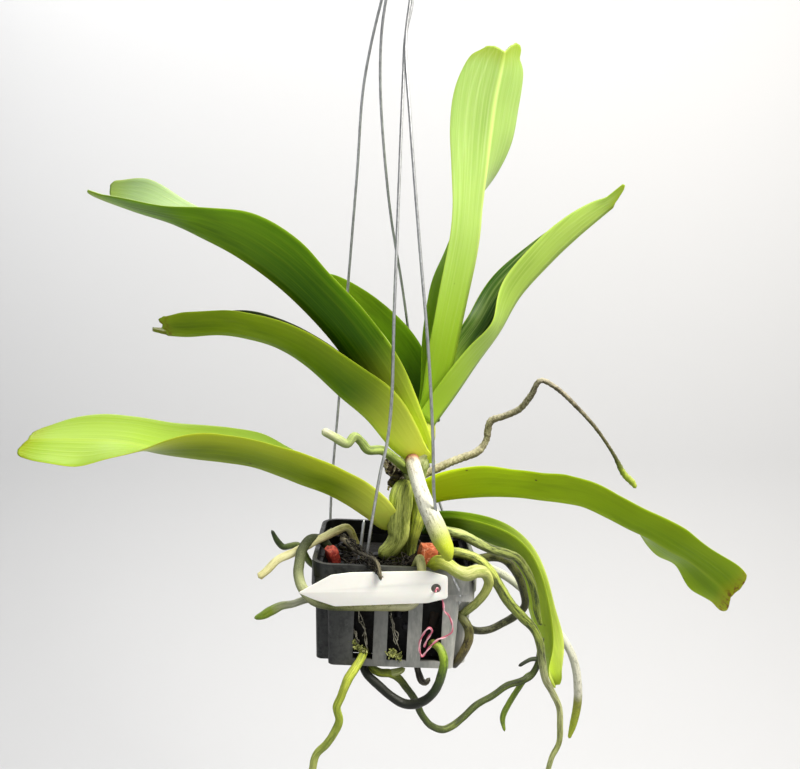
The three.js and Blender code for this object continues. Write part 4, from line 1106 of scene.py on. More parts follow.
# The eight leaves, oldest first in each rank
LEAVES: tuple[Blade, ...] = (
    Blade(
        "leaf_left_lowest", Rank.LEFT,
        ((12, -7, 61, 9, 24, -18), (0, -12, 58.5, 11, 22, -30), (-9, -19, 67, 13.5, 13, -46),
         (-18, -24, 75, 14.7, 14, -56), (-27, -28, 81.3, 15.4, 22, -61), (-37, -32, 86.4, 16.9, 27, -62),
         (-47, -35, 91.5, 17.8, 31, -59), (-58, -38, 96.4, 18.4, 37, -54), (-70, -40, 99, 18.3, 38, -53),
         (-82, -42, 101, 18.8, 44, -55), (-97, -44, 103.8, 19, 65, -59), (-112, -46, 107.8, 18.5, 92, -63),
         (-126, -47, 109, 18.3, 110, -63), (-140, -48, 109.5, 15.8, 112, -66),
         (-151.5, -48, 109.5, 10, 118, -70)),
        (3, 1), 4, 8,
        # Its bright yellow sheath is painted light on the lit base.
        LeafFinish(
            outer="7c9408", far="7c9004", inner="93b23c", sheath="f0f868", sheath_length=0.3,
            shade="4c6400", shade_strength=0.5, inner_shade=0.1, thin="c4d02c", margin_light_strength=0.7,
            margin_strength=0.5, scorch=0.25,
        ),
        seed=1,
    ),
    Blade(
        "leaf_right_upper", Rank.RIGHT,
        ((16, -2, 64, 9, 24, -22), (26, -6, 70.7, 12.8, 16, -30), (45, -12, 74.8, 14.9, 8, -38),
         (61, -17, 76.2, 13, 8, -42), (72, -21, 76, 13.2, 13, -50), (82, -24, 75.6, 14.3, 16, -56),
         (91, -27, 74.5, 13.8, 21, -62), (101, -30, 70.4, 13.4, 27, -66), (110, -33, 66.2, 13.5, 31, -72),
         (119, -35, 62.2, 13.6, 31, -105), (128, -37, 57.1, 14.5, 32, -119),
         (137, -38, 52.3, 12.9, 36, -123), (147, -39, 44.4, 14.4, 34, -142),
         (155, -40, 36.5, 11, 20, -138)),
        (-1, 8), 4, 10,
        LeafFinish(
            outer="a0c008", far="7c9e00", inner="b0cc28", sheath="b8cc14", sheath_length=0.25,
            shade="567400", inner_shade=0.15, tip="b4b01c", thin="a8c414", margin_light_strength=0.4, spots=0.8,
            scorch=0.9,
        ),
        seed=2,
    ),
    Blade(
        "leaf_right_lowest", Rank.RIGHT,
        ((18, 6, 50, 9, 24, -20), (31, 12, 47, 12, 22, -14), (51, 20, 39, 14, 28, -6),
         (64, 26, 29, 14, 32, 0), (72, 30, 15, 14, 38, 12), (78, 33, -4, 14, 48, 20),
         (83, 34, -22, 14, 66, 22), (87, 33, -36, 11, 86, 34), (92, 31, -47, 6, 90, 40)),
        (0, 0), 4, 10,
        LeafFinish(
            outer="648804", far="a8c434", inner="7c9c20", inner_far="e0f078", turn=(0.2, 0.55),
            sheath="4c6c04", sheath_length=0.2, shade="345400", thin="a0bc28", margin_light_strength=0.5,
        ),
        seed=3,
    ),
    Blade(
        "leaf_left_middle", Rank.LEFT,
        ((18, -3, 88, 7, 26, -28), (11, -8, 91.5, 11.4, 20, -24), (3, -14, 98.8, 15.6, 16, -22),
         (-8, -22, 114.2, 18.5, 16, -28), (-20, -28, 126.2, 18.3, 20, -44), (-34, -31, 140, 16.2, 32, -48),
         (-47, -32, 148.4, 16, 42, -50), (-61, -32, 152.6, 14.8, 40, -44),
         (-73, -30, 153.9, 11.2, 24, -38), (-87, -26, 152.7, 10.6, 16, -54),
         (-97, -22, 152.7, 8.2, 14, -76)),
        (4, 16), 2, 12,
        # Its near-black inner colour is painted shade inside the fold; its bright yellow sheath is painted
        # light on the lit base.
        LeafFinish(
            outer="4c7204", far="849c14", inner="142800", sheath="f4ff5c", sheath_length=0.42,
            shade="345400", shade_strength=0.5, tip="8c9c28", thin="a4bc1c", margin_light_strength=0.4, scorch=0.7,
        ),
        seed=4, ragged=2.4,
    ),
    Blade(
        "leaf_left_upper", Rank.LEFT,
        ((17, -1, 88, 7.5, 28, -26), (13, -6, 100, 9.4, 24, -20), (2, -14, 114, 15.5, 16, -16),
         (-11, -22, 133, 20, 12, -18), (-24, -28, 152, 19.5, 10, -24), (-37, -32, 167, 19, 10, -28),
         (-49, -34, 178, 21, 11, -30), (-63, -35, 188, 20, 18, -34), (-77, -35, 195.5, 15, 34, -41),
         (-90, -34, 201.5, 13.1, 62, -40), (-105, -32, 206, 14.4, 74, -8), (-117, -30, 210, 9.4, 80, 3)),
        (9, 3), 3, 14,
        # Its bright yellow sheath is painted light on the lit base.
        LeafFinish(
            outer="325c00", far="78a41c", inner="a4bc88", turn=(0.5, 0.9), sheath="ecff50",
            sheath_length=0.38, shade="1c4000", shade_strength=0.6, inner_shade=0.1, tip="9cb03c",
            thin="6c9c10", margin_light_strength=0.35,
        ),
        seed=5,
    ),
    Blade(
        "leaf_right_top", Rank.RIGHT,
        ((22, -4, 107, 10, 28, -16), (33, 2, 121, 14.5, 44, -6), (44, 8, 136, 16, 54, -8),
         (55, 14, 150, 17, 62, -6), (66, 20, 168, 17, 44, -20), (82, 25, 185, 15, 30, -34),
         (95, 28, 197, 12.5, 24, -40), (107, 30, 207, 9, 20, -40), (113, 30, 212, 6, 20, -40)),
        (12, 1), 2, 12,
        # Its dark inner colour is painted shade inside the fold.
        LeafFinish(
            outer="9cbc48", far="a0bc54", inner="244c0c", sheath="94b430", sheath_length=0.35,
            shade="749430", vein="c8dc84", vein_strength=0.2, keel_strength=0.4, keel="cce080",
            streaks=0.25, glow=0.25, inner_shade=0.4,
        ),
        slot=Slot.LEAF_YOUNG, seed=6,
    ),
    Blade(
        "leaf_upright", Rank.RIGHT,
        ((22, 0, 105, 9, 24, -20), (29, 2, 124, 13, 26, -8), (34, 4, 147, 17, 38, 2),
         (38, 6, 166, 18, 41, -4), (42, 8, 185, 18, 38, -34), (44, 9, 198, 18, 38, -52),
         (45, 10, 210, 18, 38, -74), (47, 11, 226, 19, 29, -106), (49, 12, 244, 20.5, 18, -128),
         (51, 12, 260, 20, 12, -134), (54, 12, 275, 16, 8, -138), (55, 12, 281, 11, 8, -138)),
        (2.5, 8), 5, 12,
        LeafFinish(
            outer="a0c058", far="a0c064", inner="8cb43c", sheath="88aa20", sheath_length=0.6,
            shade="7ca040", vein="d2e49c", keel="d8ec8c", vein_strength=0.22, keel_strength=0.7,
            shade_strength=0.3, streaks=0.25, glow=0.25,
        ),
        slot=Slot.LEAF_YOUNG, seed=7,
    ),
    Blade(
        "leaf_left_back", Rank.LEFT,
        ((18, 6, 105, 9, 22, -22), (13, 14, 118, 14, 8, -24), (1, 28, 135, 18, 4, -30),
         (-15, 46, 151, 17, 4, -30), (-32, 60, 165, 13, 4, -30), (-42, 67, 172, 8, 4, -30)),
        (3, 3), 4, 14,
        # Its dark inner colour, the same as its shade, is painted shade inside the fold.
        LeafFinish(
            outer="6c9c04", far="78a010", inner="2c5000", sheath="284800", sheath_length=0.5,
            shade="2c5000",
        ),
        seed=8,
    ),
)


# Roots and stem


@dataclass(frozen=True)
class Root:
    """One aerial root with its branches: routes of x, y, z and radius, and colours along them."""

    node: str
    slot: Slot
    route: tuple[Point, ...]
    tints: Stops
    flecks: Stops
    relief: Relief = Relief()
    branches: tuple[tuple[tuple[Point, ...], str, str], ...] = ()
    seed: int = 0
    open_end: float = 1.0

    def build(self, finish: Material) -> None:
        """Make the root.

        Args:
            finish: its slot's velamen.
        """
        skin = Skin()
        trunk = Rod(self.route, relief=self.relief, seed=self.seed, domes=(0.6, self.open_end))
        trunk.add_to(skin, self.tints, self.flecks)
        for number, (route, tint, fleck) in enumerate(self.branches):
            rod = Rod(route, relief=self.relief, seed=self.seed + 31 + number, domes=(0.1, 1.2))
            rod.add_to(skin, {0: tint}, {0: fleck})
        skin.build(self.node + "_velamen", finish, self.slot, [self.node])


# The aerial roots, each with its route, tints and flecks
ROOTS: tuple[Root, ...] = (
    Root(
        "root_thick_front", Slot.ROOT_PALE,
        ((12, -5, 93, 3), (13, -14, 90, 3.5), (16, -24, 81, 3.6), (19, -33, 75, 3.9), (22, -40, 70, 4.2),
         (25, -44, 64, 4.2), (27, -46, 60, 3.4), (28, -46, 55, 1.4)),
        {0: "a05a40", 0.7: "b87c5c", 1: "e4dccc", 1.6: "efeee2", 3.6: "e6e6d6", 4.2: "d3d5a4", 5: "bfc954",
         5.6: "c3d12e", 7: "cad634"},
        {0: "6c3420", 0.7: "84543c", 1: "8c8478", 3: "888274", 4.2: "8c8c60", 5.2: "aebf35", 7: "b4c52c"},
        Relief(0.05, 7, 0.03), seed=1,
    ),
    Root(
        "root_stump_front", Slot.ROOT_GREEN,
        ((9.5, -6, 79, 4.4), (7.2, -12, 75.5, 5.5), (6.6, -14, 69, 5.7), (6.1, -15, 61.5, 5.4),
         (5.4, -15.5, 54.5, 5), (2, -16, 49.5, 4.4), (-3.4, -16, 45.5, 3.4)),
        {0: "c0cc54", 2: "d4de70", 4: "dce67c", 6: "b0bc50", 7: "848e3c"},
        {0: "6c7c2c", 4: "849038", 7: "4c5820"},
        Relief(0.1, 5, 0.05, 5, 0.16), seed=2,
    ),
    Root(
        "root_stump_back", Slot.ROOT_GREEN,
        ((11.5, -2, 77, 3.2), (14.8, -8, 75, 3.5), (16.2, -9.5, 69, 3.5), (15.4, -10, 62, 3.3),
         (13.6, -10, 55, 2.9), (12.4, -9, 48, 2.5), (12, -9, 42, 2.2)),
        {0: "c4d048", 3: "d0dc54", 5: "a4b040"},
        {0: "5c6c20", 3: "748430", 5: "4c5824"},
        Relief(0.1, 5, 0.05, 3, 0.1), seed=3,
    ),
    Root(
        "root_cut_left", Slot.ROOT_GREEN,
        ((11, -4, 84, 2.2), (8, -12, 89, 2.3), (3, -18, 95, 2.3), (-2, -22, 99, 2.2), (-8, -25, 100, 2.2),
         (-11, -26, 104, 2.1), (-14, -28, 107, 2.1), (-17, -30, 104, 2), (-22, -31, 107, 2.1),
         (-28, -33, 111, 1.9)),
        {0: "8ca040", 3: "acc060", 7: "b0c470", 8.2: "ccd49c", 9: "e8e6cc"},
        {0: "586a24", 5: "647832", 9: "b0b484"},
        Relief(0.12, 4, 0.05, 3, 0.08), seed=4,
    ),
    Root(
        "root_wiry_right", Slot.ROOT_SCALY,
        ((14, 2, 79, 2), (23, 3, 83, 2), (32, 4, 87, 2), (45, 5, 92, 1.9), (49, 6, 97, 1.7),
         (51, 5, 107, 1.7), (57, 3, 110, 1.6), (64, 0, 114, 1.6), (69, -3, 121, 1.5), (73, -6, 129, 1.3),
         (80, -6, 126, 1.2), (90, -7, 117, 1), (100, -8, 106, 0.9), (109, -8, 93, 0.9), (114, -8, 84, 1.6),
         (118, -8, 80, 1.5), (120, -8, 77, 0.9)),
        {0: "d0c8a4", 5: "c4bc98", 9: "bcb498", 12.4: "84785c", 13.2: "5c5c34", 13.8: "a4b438",
         16: "ccd454"},
        {0: "948a64", 5: "746a4c", 11: "4e4630", 13.4: "4c5020", 14: "8c9c30", 16: "acbc40"},
        Relief(0.12, 4, 0.08, 0, 0, 0.09, 1.5), seed=5,
    ),
    Root(
        "root_over_rim_right", Slot.ROOT_GREEN,
        ((11, -2, 62, 2), (20, -9, 61, 2.2), (28, -14, 58, 2.3), (36, -14, 56, 2.3), (44, -12, 51, 2.3),
         (51, -10, 47, 2.3), (59, -8, 44, 2.2), (64, -6, 41, 2.2), (69, -5, 34, 2.1), (72, -4, 27, 2),
         (74, -4, 19, 1.9), (75, -4, 12, 1.8), (77, -4, 5, 1.1)),
        {0: "acbc58", 3: "ccd884", 7: "c4d06c", 9: "a4b24c", 11: "a4b844", 12: "b0c440"},
        {0: "4d5c28", 5: "445024", 12: "445420"},
        Relief(0.08, 5, 0.05, 2, 0.06), seed=6,
    ),
    Root(
        "root_long_right", Slot.ROOT_GREEN,
        ((22, -14, 43, 2.2), (26, -18, 47, 2.3), (31, -23.5, 50.6, 2.4), (36, -26, 50.8, 2.4),
         (41, -26, 49, 2.4), (45.4, -24, 45.2, 2.4), (49.5, -21, 39.5, 2.5), (54.5, -17, 30.4, 2.5),
         (59.5, -14, 21.5, 2.5), (66, -12, 13.5, 2.4), (72, -12, 7, 2.2), (75, -12, 0, 2.1),
         (77, -10, -11, 2), (79, -9, -21, 1.9), (83, -7, -29, 1.7), (87, -6, -38, 1.6), (88, -5, -48, 1.6),
         (88, -4, -59, 1.5), (85, -3, -67, 1.5), (83, -2, -76, 1.4), (79, -2, -86, 0.7)),
        {0: "a4b250", 3: "d4de74", 6: "d8e46c", 9: "bccc54", 11: "acbc58", 13: "d4d8a0", 15: "dce0a0",
         17: "d0d87c", 19: "e4e8a8"},
        {0: "4c5826", 6: "445420", 11: "344018", 13: "7c7c50", 19: "8c984c"},
        Relief(0.07, 6, 0.05, 4, 0.14), seed=7,
    ),
    Root(
        "root_dark_loop_right", Slot.ROOT_DARK,
        ((28, 12, 25, 2.2), (37, 13, 28, 2.3), (44, 13, 32, 2.3), (52, 12, 34.5, 2.3), (60, 10, 34, 2.3),
         (67, 9, 26, 2.2), (70, 9, 17, 2.1), (71, 9, 10, 2), (69, 10, 6, 2), (65, 11, 2, 2),
         (60, 11, -1, 2), (53, 10, -4, 2), (45, 7, -3, 2), (39, 3, 3, 2), (32, 1, 10, 1.8)),
        {0: "7c8040", 4: "70743a", 6: "55582c", 8: "2c2e18", 12: "24240f", 14: "4c5226"},
        {0: "3c421c", 6: "26280f", 10: "6a6c44", 14: "1c1e12"},
        Relief(0.07, 6, 0.04, 2, 0.05), seed=8,
    ),
    Root(
        "root_hanging_back", Slot.ROOT_PALE,
        ((28, 18, 17, 2.2), (37, 24, 19, 2.3), (46, 36, 20, 2.3), (60, 47, 13, 2.3), (78, 54, -2, 2.3),
         (93, 53, -20, 2.3), (103, 50, -34, 2.3), (107, 49, -44, 2.4), (109, 48, -57, 2.5),
         (109, 48, -70, 2.4), (107, 48, -82, 2), (105, 48, -90, 0.9)),
        {0: "b9bfa2", 6: "dcdccb", 8.3: "d9d8c6", 8.7: "93963a", 10: "a5b62c", 11: "bcc93e"},
        {0: "8a9274", 6: "a9aa98", 8.3: "9a9a80", 9: "6f7426", 11: "93a426"},
        Relief(0.05, 7, 0.03), seed=9,
    ),
    Root(
        "root_under_basket", Slot.ROOT_GREEN,
        ((-9, -18, 8, 1.8), (-9, -23, -1, 1.9), (-7, -27, -5, 2), (-3, -29, -6.5, 2), (2, -29, -7, 1.9),
         (6, -28, -10, 1.8), (10, -27, -16, 1.7), (14, -25, -23, 1.7), (17, -22, -32, 1.7),
         (22, -19, -40, 1.7), (28, -16, -44, 1.8), (33, -14, -43, 1.8), (38, -12, -40, 1.7),
         (45, -9, -35, 1.7), (53, -6, -32, 1.7), (61, -3, -28, 1.7), (69, 0, -27, 1.7), (74, 2, -25, 1.7),
         (77, 2, -19, 1.6), (78, 2, -12, 1.5), (79, 1, -4, 1)),
        {0: "8c9a34", 2: "c0cc3c", 4: "b4c23c", 5.5: "647034", 8: "4c5c24", 11: "7d8c3c", 12: "5c6c2c",
         16: "5c6c2c", 20: "3c481f"},
        {0: "5c6a24", 4: "7c8a30", 6: "2c3614", 12: "343f18", 20: "20280f"},
        Relief(0.08, 5, 0.05, 3, 0.07),
        ((((2, -29, -7, 1.8), (6, -29, -6, 1.7), (9, -28, -5, 1)), "c9d08c", "a9b45c"),
         (((75, 2, -24, 1.5), (72, 4, -27, 1.5), (68, 5, -34, 1.5), (63, 5, -43, 1.5), (60, 4, -50, 1.5),
           (61, 3, -57, 0.7)), "8fa832", "5c7422"),
         (((77, 2, -16, 1.2), (73, 1, -16, 1.1), (67, 0, -19, 0.8)), "3f4a30", "23281c")),
        seed=10,
    ),
    Root(
        "root_loop_front", Slot.ROOT_DARK,
        ((-10, -22, 6, 1.9), (-10.6, -28, -3.4, 2), (-9, -31, -6, 2), (-3.7, -33, -10.5, 2.1),
         (2.4, -34, -15.6, 2.1), (8.5, -35, -18.8, 2.2), (14, -37, -17.8, 2.2), (19.5, -39, -13.7, 2.1),
         (23.5, -41, -7, 2.1), (25.6, -43, 1, 2), (26.4, -43.6, 7.2, 2), (25, -42, 11.6, 1.9),
         (22.4, -38.4, 12.6, 1.8), (21, -30, 8, 1.7)),
        {0: "1a2010", 5: "0b0e07", 7: "10160a", 8.3: "3c5018", 9.5: "84a428", 11: "a9c43a", 13: "7f943a"},
        {0: "0a0c06", 7: "1c2410", 9: "34480f", 11: "6c8428", 13: "5c6c2a"},
        Relief(0.07, 6, 0.04), seed=11,
    ),
    Root(
        "root_hanging_left", Slot.ROOT_GREEN,
        ((-9, -26, 6, 1.8), (-10, -32, 5.8, 1.9), (-11.5, -38.4, 5, 2), (-14, -42.5, 2.6, 2.1),
         (-16.5, -45, -0.4, 2.1), (-18, -46, -3.6, 2), (-20, -46, -9, 1.9), (-22, -46, -14, 1.9),
         (-21, -45, -21, 1.9), (-23, -44, -27, 1.9), (-27, -43, -34, 1.8), (-32, -42, -40, 1.8),
         (-34, -41, -48, 1.7), (-36, -40, -59, 0.8)),
        {0: "9cac2c", 3: "c9d444", 5: "ccd64c", 8: "b4c63c", 11: "ccd66c", 13: "dce090"},
        {0: "748020", 5: "98a82c", 9: "7c9024", 13: "a0ac50"},
        Relief(0.09, 5, 0.04, 2, 0.05), seed=12,
    ),
    Root(
        "root_straw_left", Slot.ROOT_STRAW,
        ((-12, -6, 40, 1.6), (-15, -8, 50, 1.7), (-19, -10, 58, 1.9), (-24, -12, 57, 2), (-31, -14, 54, 2),
         (-38, -16, 51, 2), (-45, -18, 48, 2), (-51, -20, 45.5, 2), (-56, -22, 41, 1.9),
         (-60, -23, 38, 1.8)),
        {0: "d8cc84", 2: "fcf4b0", 6: "fffcc4", 9: "fcf4ac"},
        {0: "948850", 3: "d8ce84", 7: "e8de98", 9: "ccc278"},
        Relief(0.1, 4, 0.06, 5, 0.14), seed=13, open_end=0.3,
    ),
    Root(
        "root_pointed_left", Slot.ROOT_DARK,
        ((-26, 13, 24, 1.5), (-34, 14, 27, 1.6), (-40, 14, 31, 1.6), (-43, 13, 37, 1.6),
         (-46, 12, 41, 1.6), (-50, 12, 40.5, 1.6), (-53, 12, 40, 1.6), (-56, 12, 43, 1.5),
         (-59, 12, 49, 0.7)),
        {0: "6f8038", 4: "8a9a4c", 6: "54682a", 8: "34431c"},
        {0: "3c4a20", 4: "4f6028", 8: "202a14"},
        Relief(0.1, 4, 0.05), seed=14,
    ),
    Root(
        "root_short_left", Slot.ROOT_GREEN,
        ((-24, -3, 20, 1.7), (-32, -4, 20, 1.8), (-41, -8, 20, 1.8), (-46, -10, 19, 1.8),
         (-51, -12, 19, 2), (-56, -13, 17, 2.3), (-60, -14, 15, 2), (-64, -15, 14, 0.8)),
        {0: "c2c69c", 3: "d9dabe", 4.2: "c3ca92", 5: "9ab032", 7: "8fae2c"},
        {0: "8c9464", 3: "a3a884", 5: "7c9628", 7: "6f8c22"},
        Relief(0.08, 4, 0.04), seed=15,
    ),
    Root(
        "root_around_rim", Slot.ROOT_PALE,
        ((13, -27, 43, 2), (14.6, -32, 49, 2.1), (15.6, -36, 52.2, 2.1), (16.2, -39.4, 49.6, 2.1),
         (16, -40, 43, 2.1), (14.6, -39.4, 35.5, 2.2), (11, -38.8, 31.6, 2.3), (4, -38.6, 31.2, 2.4),
         (-6, -38.8, 31.3, 2.4), (-16, -39, 31.5, 2.4), (-25, -39.6, 32, 2.4), (-32, -40.4, 34.5, 2.4),
         (-37, -38.6, 39, 2.4), (-39.8, -32, 43, 2.4), (-40.2, -25, 46.5, 2.4), (-39.4, -19, 50.5, 2.4),
         (-36, -15, 53.8, 2.4), (-31, -12, 52.4, 2.3), (-27, -10, 46, 2.2), (-25, -9, 39, 2)),
        {0: "c3c872", 2: "dedc9c", 4: "d9d78e", 5.3: "e6e4bc", 7: "dcdaa8", 8.4: "b8b87c", 10: "6c743c",
         11.4: "b4b886", 12.2: "a4aa78", 13.2: "646c40", 15: "4c5430", 19: "3c4424"},
        {0: "93a040", 3: "b0b468", 5: "b4b284", 7: "a4a26c", 9: "5c6430", 10: "3c4420", 12: "84885c",
         13.4: "444c28", 16: "343c20", 19: "202814"},
        Relief(0.07, 6, 0.04, 2, 0.05), seed=16,
    ),
    Root(
        "root_over_lug_right", Slot.ROOT_GREEN,
        ((19.5, -28, 42, 2.2), (21.5, -33, 47.5, 2.8), (24, -37.4, 51.4, 3.2), (28, -39.6, 51, 3),
         (32, -41, 48.6, 2.9), (36.4, -41.6, 47.4, 3.1), (41, -40.4, 48.2, 2.9), (45, -36.6, 45.6, 2.5),
         (47, -34, 40.5, 2.3), (45.6, -33, 35.2, 2.2), (42, -32, 29.8, 2.1), (38, -31, 25.6, 2),
         (34.6, -28.6, 21.4, 1.8)),
        {0: "a4b23c", 2: "ccd63c", 4: "d4d494", 6: "dcdc8c", 8: "c8ce68", 12: "b4ba74"},
        {0: "6f7c2c", 2: "a9b62c", 5: "a0ac54", 8: "94a044", 12: "6c7838"},
        Relief(0.07, 6, 0.04, 2, 0.06), seed=18,
    ),
    Root(
        "root_hugging_right", Slot.ROOT_DARK,
        ((33, -26, 23, 1.8), (35.6, -31.4, 21.6, 2), (38, -33.4, 18, 2.1), (38.4, -33.6, 13, 2.2),
         (36.4, -33.4, 7.2, 2.1), (34, -32.4, 2.2, 1.9), (31.6, -29, -3.4, 1.6)),
        {0: "6c7440", 2: "6f7038", 4: "8c7f48", 6: "4c4a28"},
        {0: "3c4420", 3: "42381f", 6: "2a2416"},
        Relief(0.08, 5, 0.05), seed=19,
    ),
    Root(
        "dead_root_under_basket", Slot.DEAD,
        ((14, -27, 4, 1.2), (14.6, -29.4, -1.6, 1.4), (15.2, -31, -5.6, 1.6), (16.6, -32, -9, 1.7),
         (18.6, -32, -10, 1.5), (20.6, -32, -7.6, 0.9)),
        {0: "24211c", 3: "2c2822", 5: "3c372c"},
        {0: "0e0c09", 3: "8f8b7a", 5: "b9b49c"},
        Relief(0.25, 2.4, 0.16, 4, 0.2), seed=20,
    ),
    Root(
        "dead_root_over_rim", Slot.DEAD,
        ((-17, -3, 40, 1.2), (-20, -5, 51, 1.3), (-20.6, -15, 54.4, 1.3), (-16, -23, 53.2, 1.3),
         (-10, -31, 52, 1.2), (-5.6, -37, 52.6, 1.1), (-3.4, -42, 52, 1), (-2.4, -45, 49, 0.9),
         (-1.8, -45.8, 46.2, 0.6)),
        {0: "2c2418", 2: "4c4430", 4: "241e14", 6: "2c2618"},
        {0: "120e08", 2: "a8a084", 4: "0f0c08", 6: "8c8468"},
        Relief(0.2, 3, 0.12, 5, 0.25), seed=17,
    ),
)


@dataclass(frozen=True)
class Stem:
    """The short stem with the scars of old leaf bases round it."""

    finish: Material
    route: tuple[Point, ...] = (
        (6, 3, 14, 5), (7.5, 2.5, 32, 5.5), (9, 2, 50, 6.5), (10, 1, 64, 7), (11.5, 0, 78, 7.2),
        (14, -1, 90, 7.5), (16.5, -1, 101, 7), (18.5, 0, 110, 5.5), (20, 1, 118, 3.5),
    )
    tints: Stops = field(default_factory=lambda: {
        0: "5f5a34", 2: "98a04c", 4: "d8dca8", 5.4: "d2d89c", 6.4: "c4cc4c", 8: "b4c43c",
    })
    flecks: Stops = field(default_factory=lambda: {0: "2f2a18", 3: "5c6430", 5: "8c9a50", 8: "8fa030"})
    relief: Relief = Relief(0.05, 8, 0.03, 7, 0.05, 0.03, 9.0)
    seed: int = 21

    def build(self) -> None:
        """Make the stem."""
        skin = Skin()
        Rod(self.route, sides=28, relief=self.relief, seed=self.seed).add_to(skin, self.tints, self.flecks)
        skin.build("stem_with_leaf_scars", self.finish, Slot.STEM, ["stem"])


# Solids joined and cut


def helper(points: Sequence[Point], faces: Faces) -> Thing:
    """Make a bare solid that another one is joined with or cut by.

    Args:
        points: its points.
        faces: its faces.

    Returns:
        The object.
    """
    mesh = bpy.data.meshes.new("helper")
    mesh.from_pydata(points, [], faces)
    face_out(mesh)
    return put("helper", mesh)


def evaluated(thing: Thing) -> bpy.types.Mesh:
    """The mesh of an object as its modifiers or its curves leave it."""
    graph = bpy.context.evaluated_depsgraph_get()
    return bpy.data.meshes.new_from_object(thing.evaluated_get(graph))


def bake_modifiers(thing: Thing) -> None:
    """Turn an object's modifiers into its mesh.

    Args:
        thing: the helper.
    """
    fresh = evaluated(thing)
    thing.modifiers.clear()
    thing.data = fresh


def combine(body: Thing, others: Sequence[Thing], meeting: Meeting) -> None:
    """Join, cut or intersect a helper with others, which are used up.

    Args:
        body: the helper that stays.
        others: the helpers that it meets.
        meeting: what is left of the body.
    """
    for other in others:
        cut = body.modifiers.new("cut", "BOOLEAN")
        cut.operation, cut.solver, cut.object = meeting.value, "EXACT", other
        bake_modifiers(body)
        bpy.data.objects.remove(other)


def mesh_points(mesh: bpy.types.Mesh) -> np.ndarray:
    """Read the points of a mesh.

    Args:
        mesh: the mesh.

    Returns:
        Rows of x, y, z.
    """
    flat = np.zeros(len(mesh.vertices) * 3)
    mesh.vertices.foreach_get("co", flat)
    return flat.reshape(-1, 3)


def move_points(mesh: bpy.types.Mesh, points: np.ndarray) -> None:
    """Set the points of a mesh from rows of x, y, z in the basket's frame."""
    mesh.vertices.foreach_set("co", row_frame(points).ravel())
    mesh.update()


def turned(points: np.ndarray, *turns: Point) -> np.ndarray:
    """Turn points about x, y and then z, once or more.

    Args:
        points: rows of x, y, z.
        turns: three angles in radians for each turn.

    Returns:
        The turned points.
    """
    for axis, angle in ((axis, angle) for angles in turns for axis, angle in enumerate(angles)):
        c, s = math.cos(angle), math.sin(angle)
        a, b = (axis + 1) % 3, (axis + 2) % 3
        out = points.copy()
        out[:, a] = c * points[:, a] - s * points[:, b]
        out[:, b] = s * points[:, a] + c * points[:, b]
        points = out
    return points


# Basket


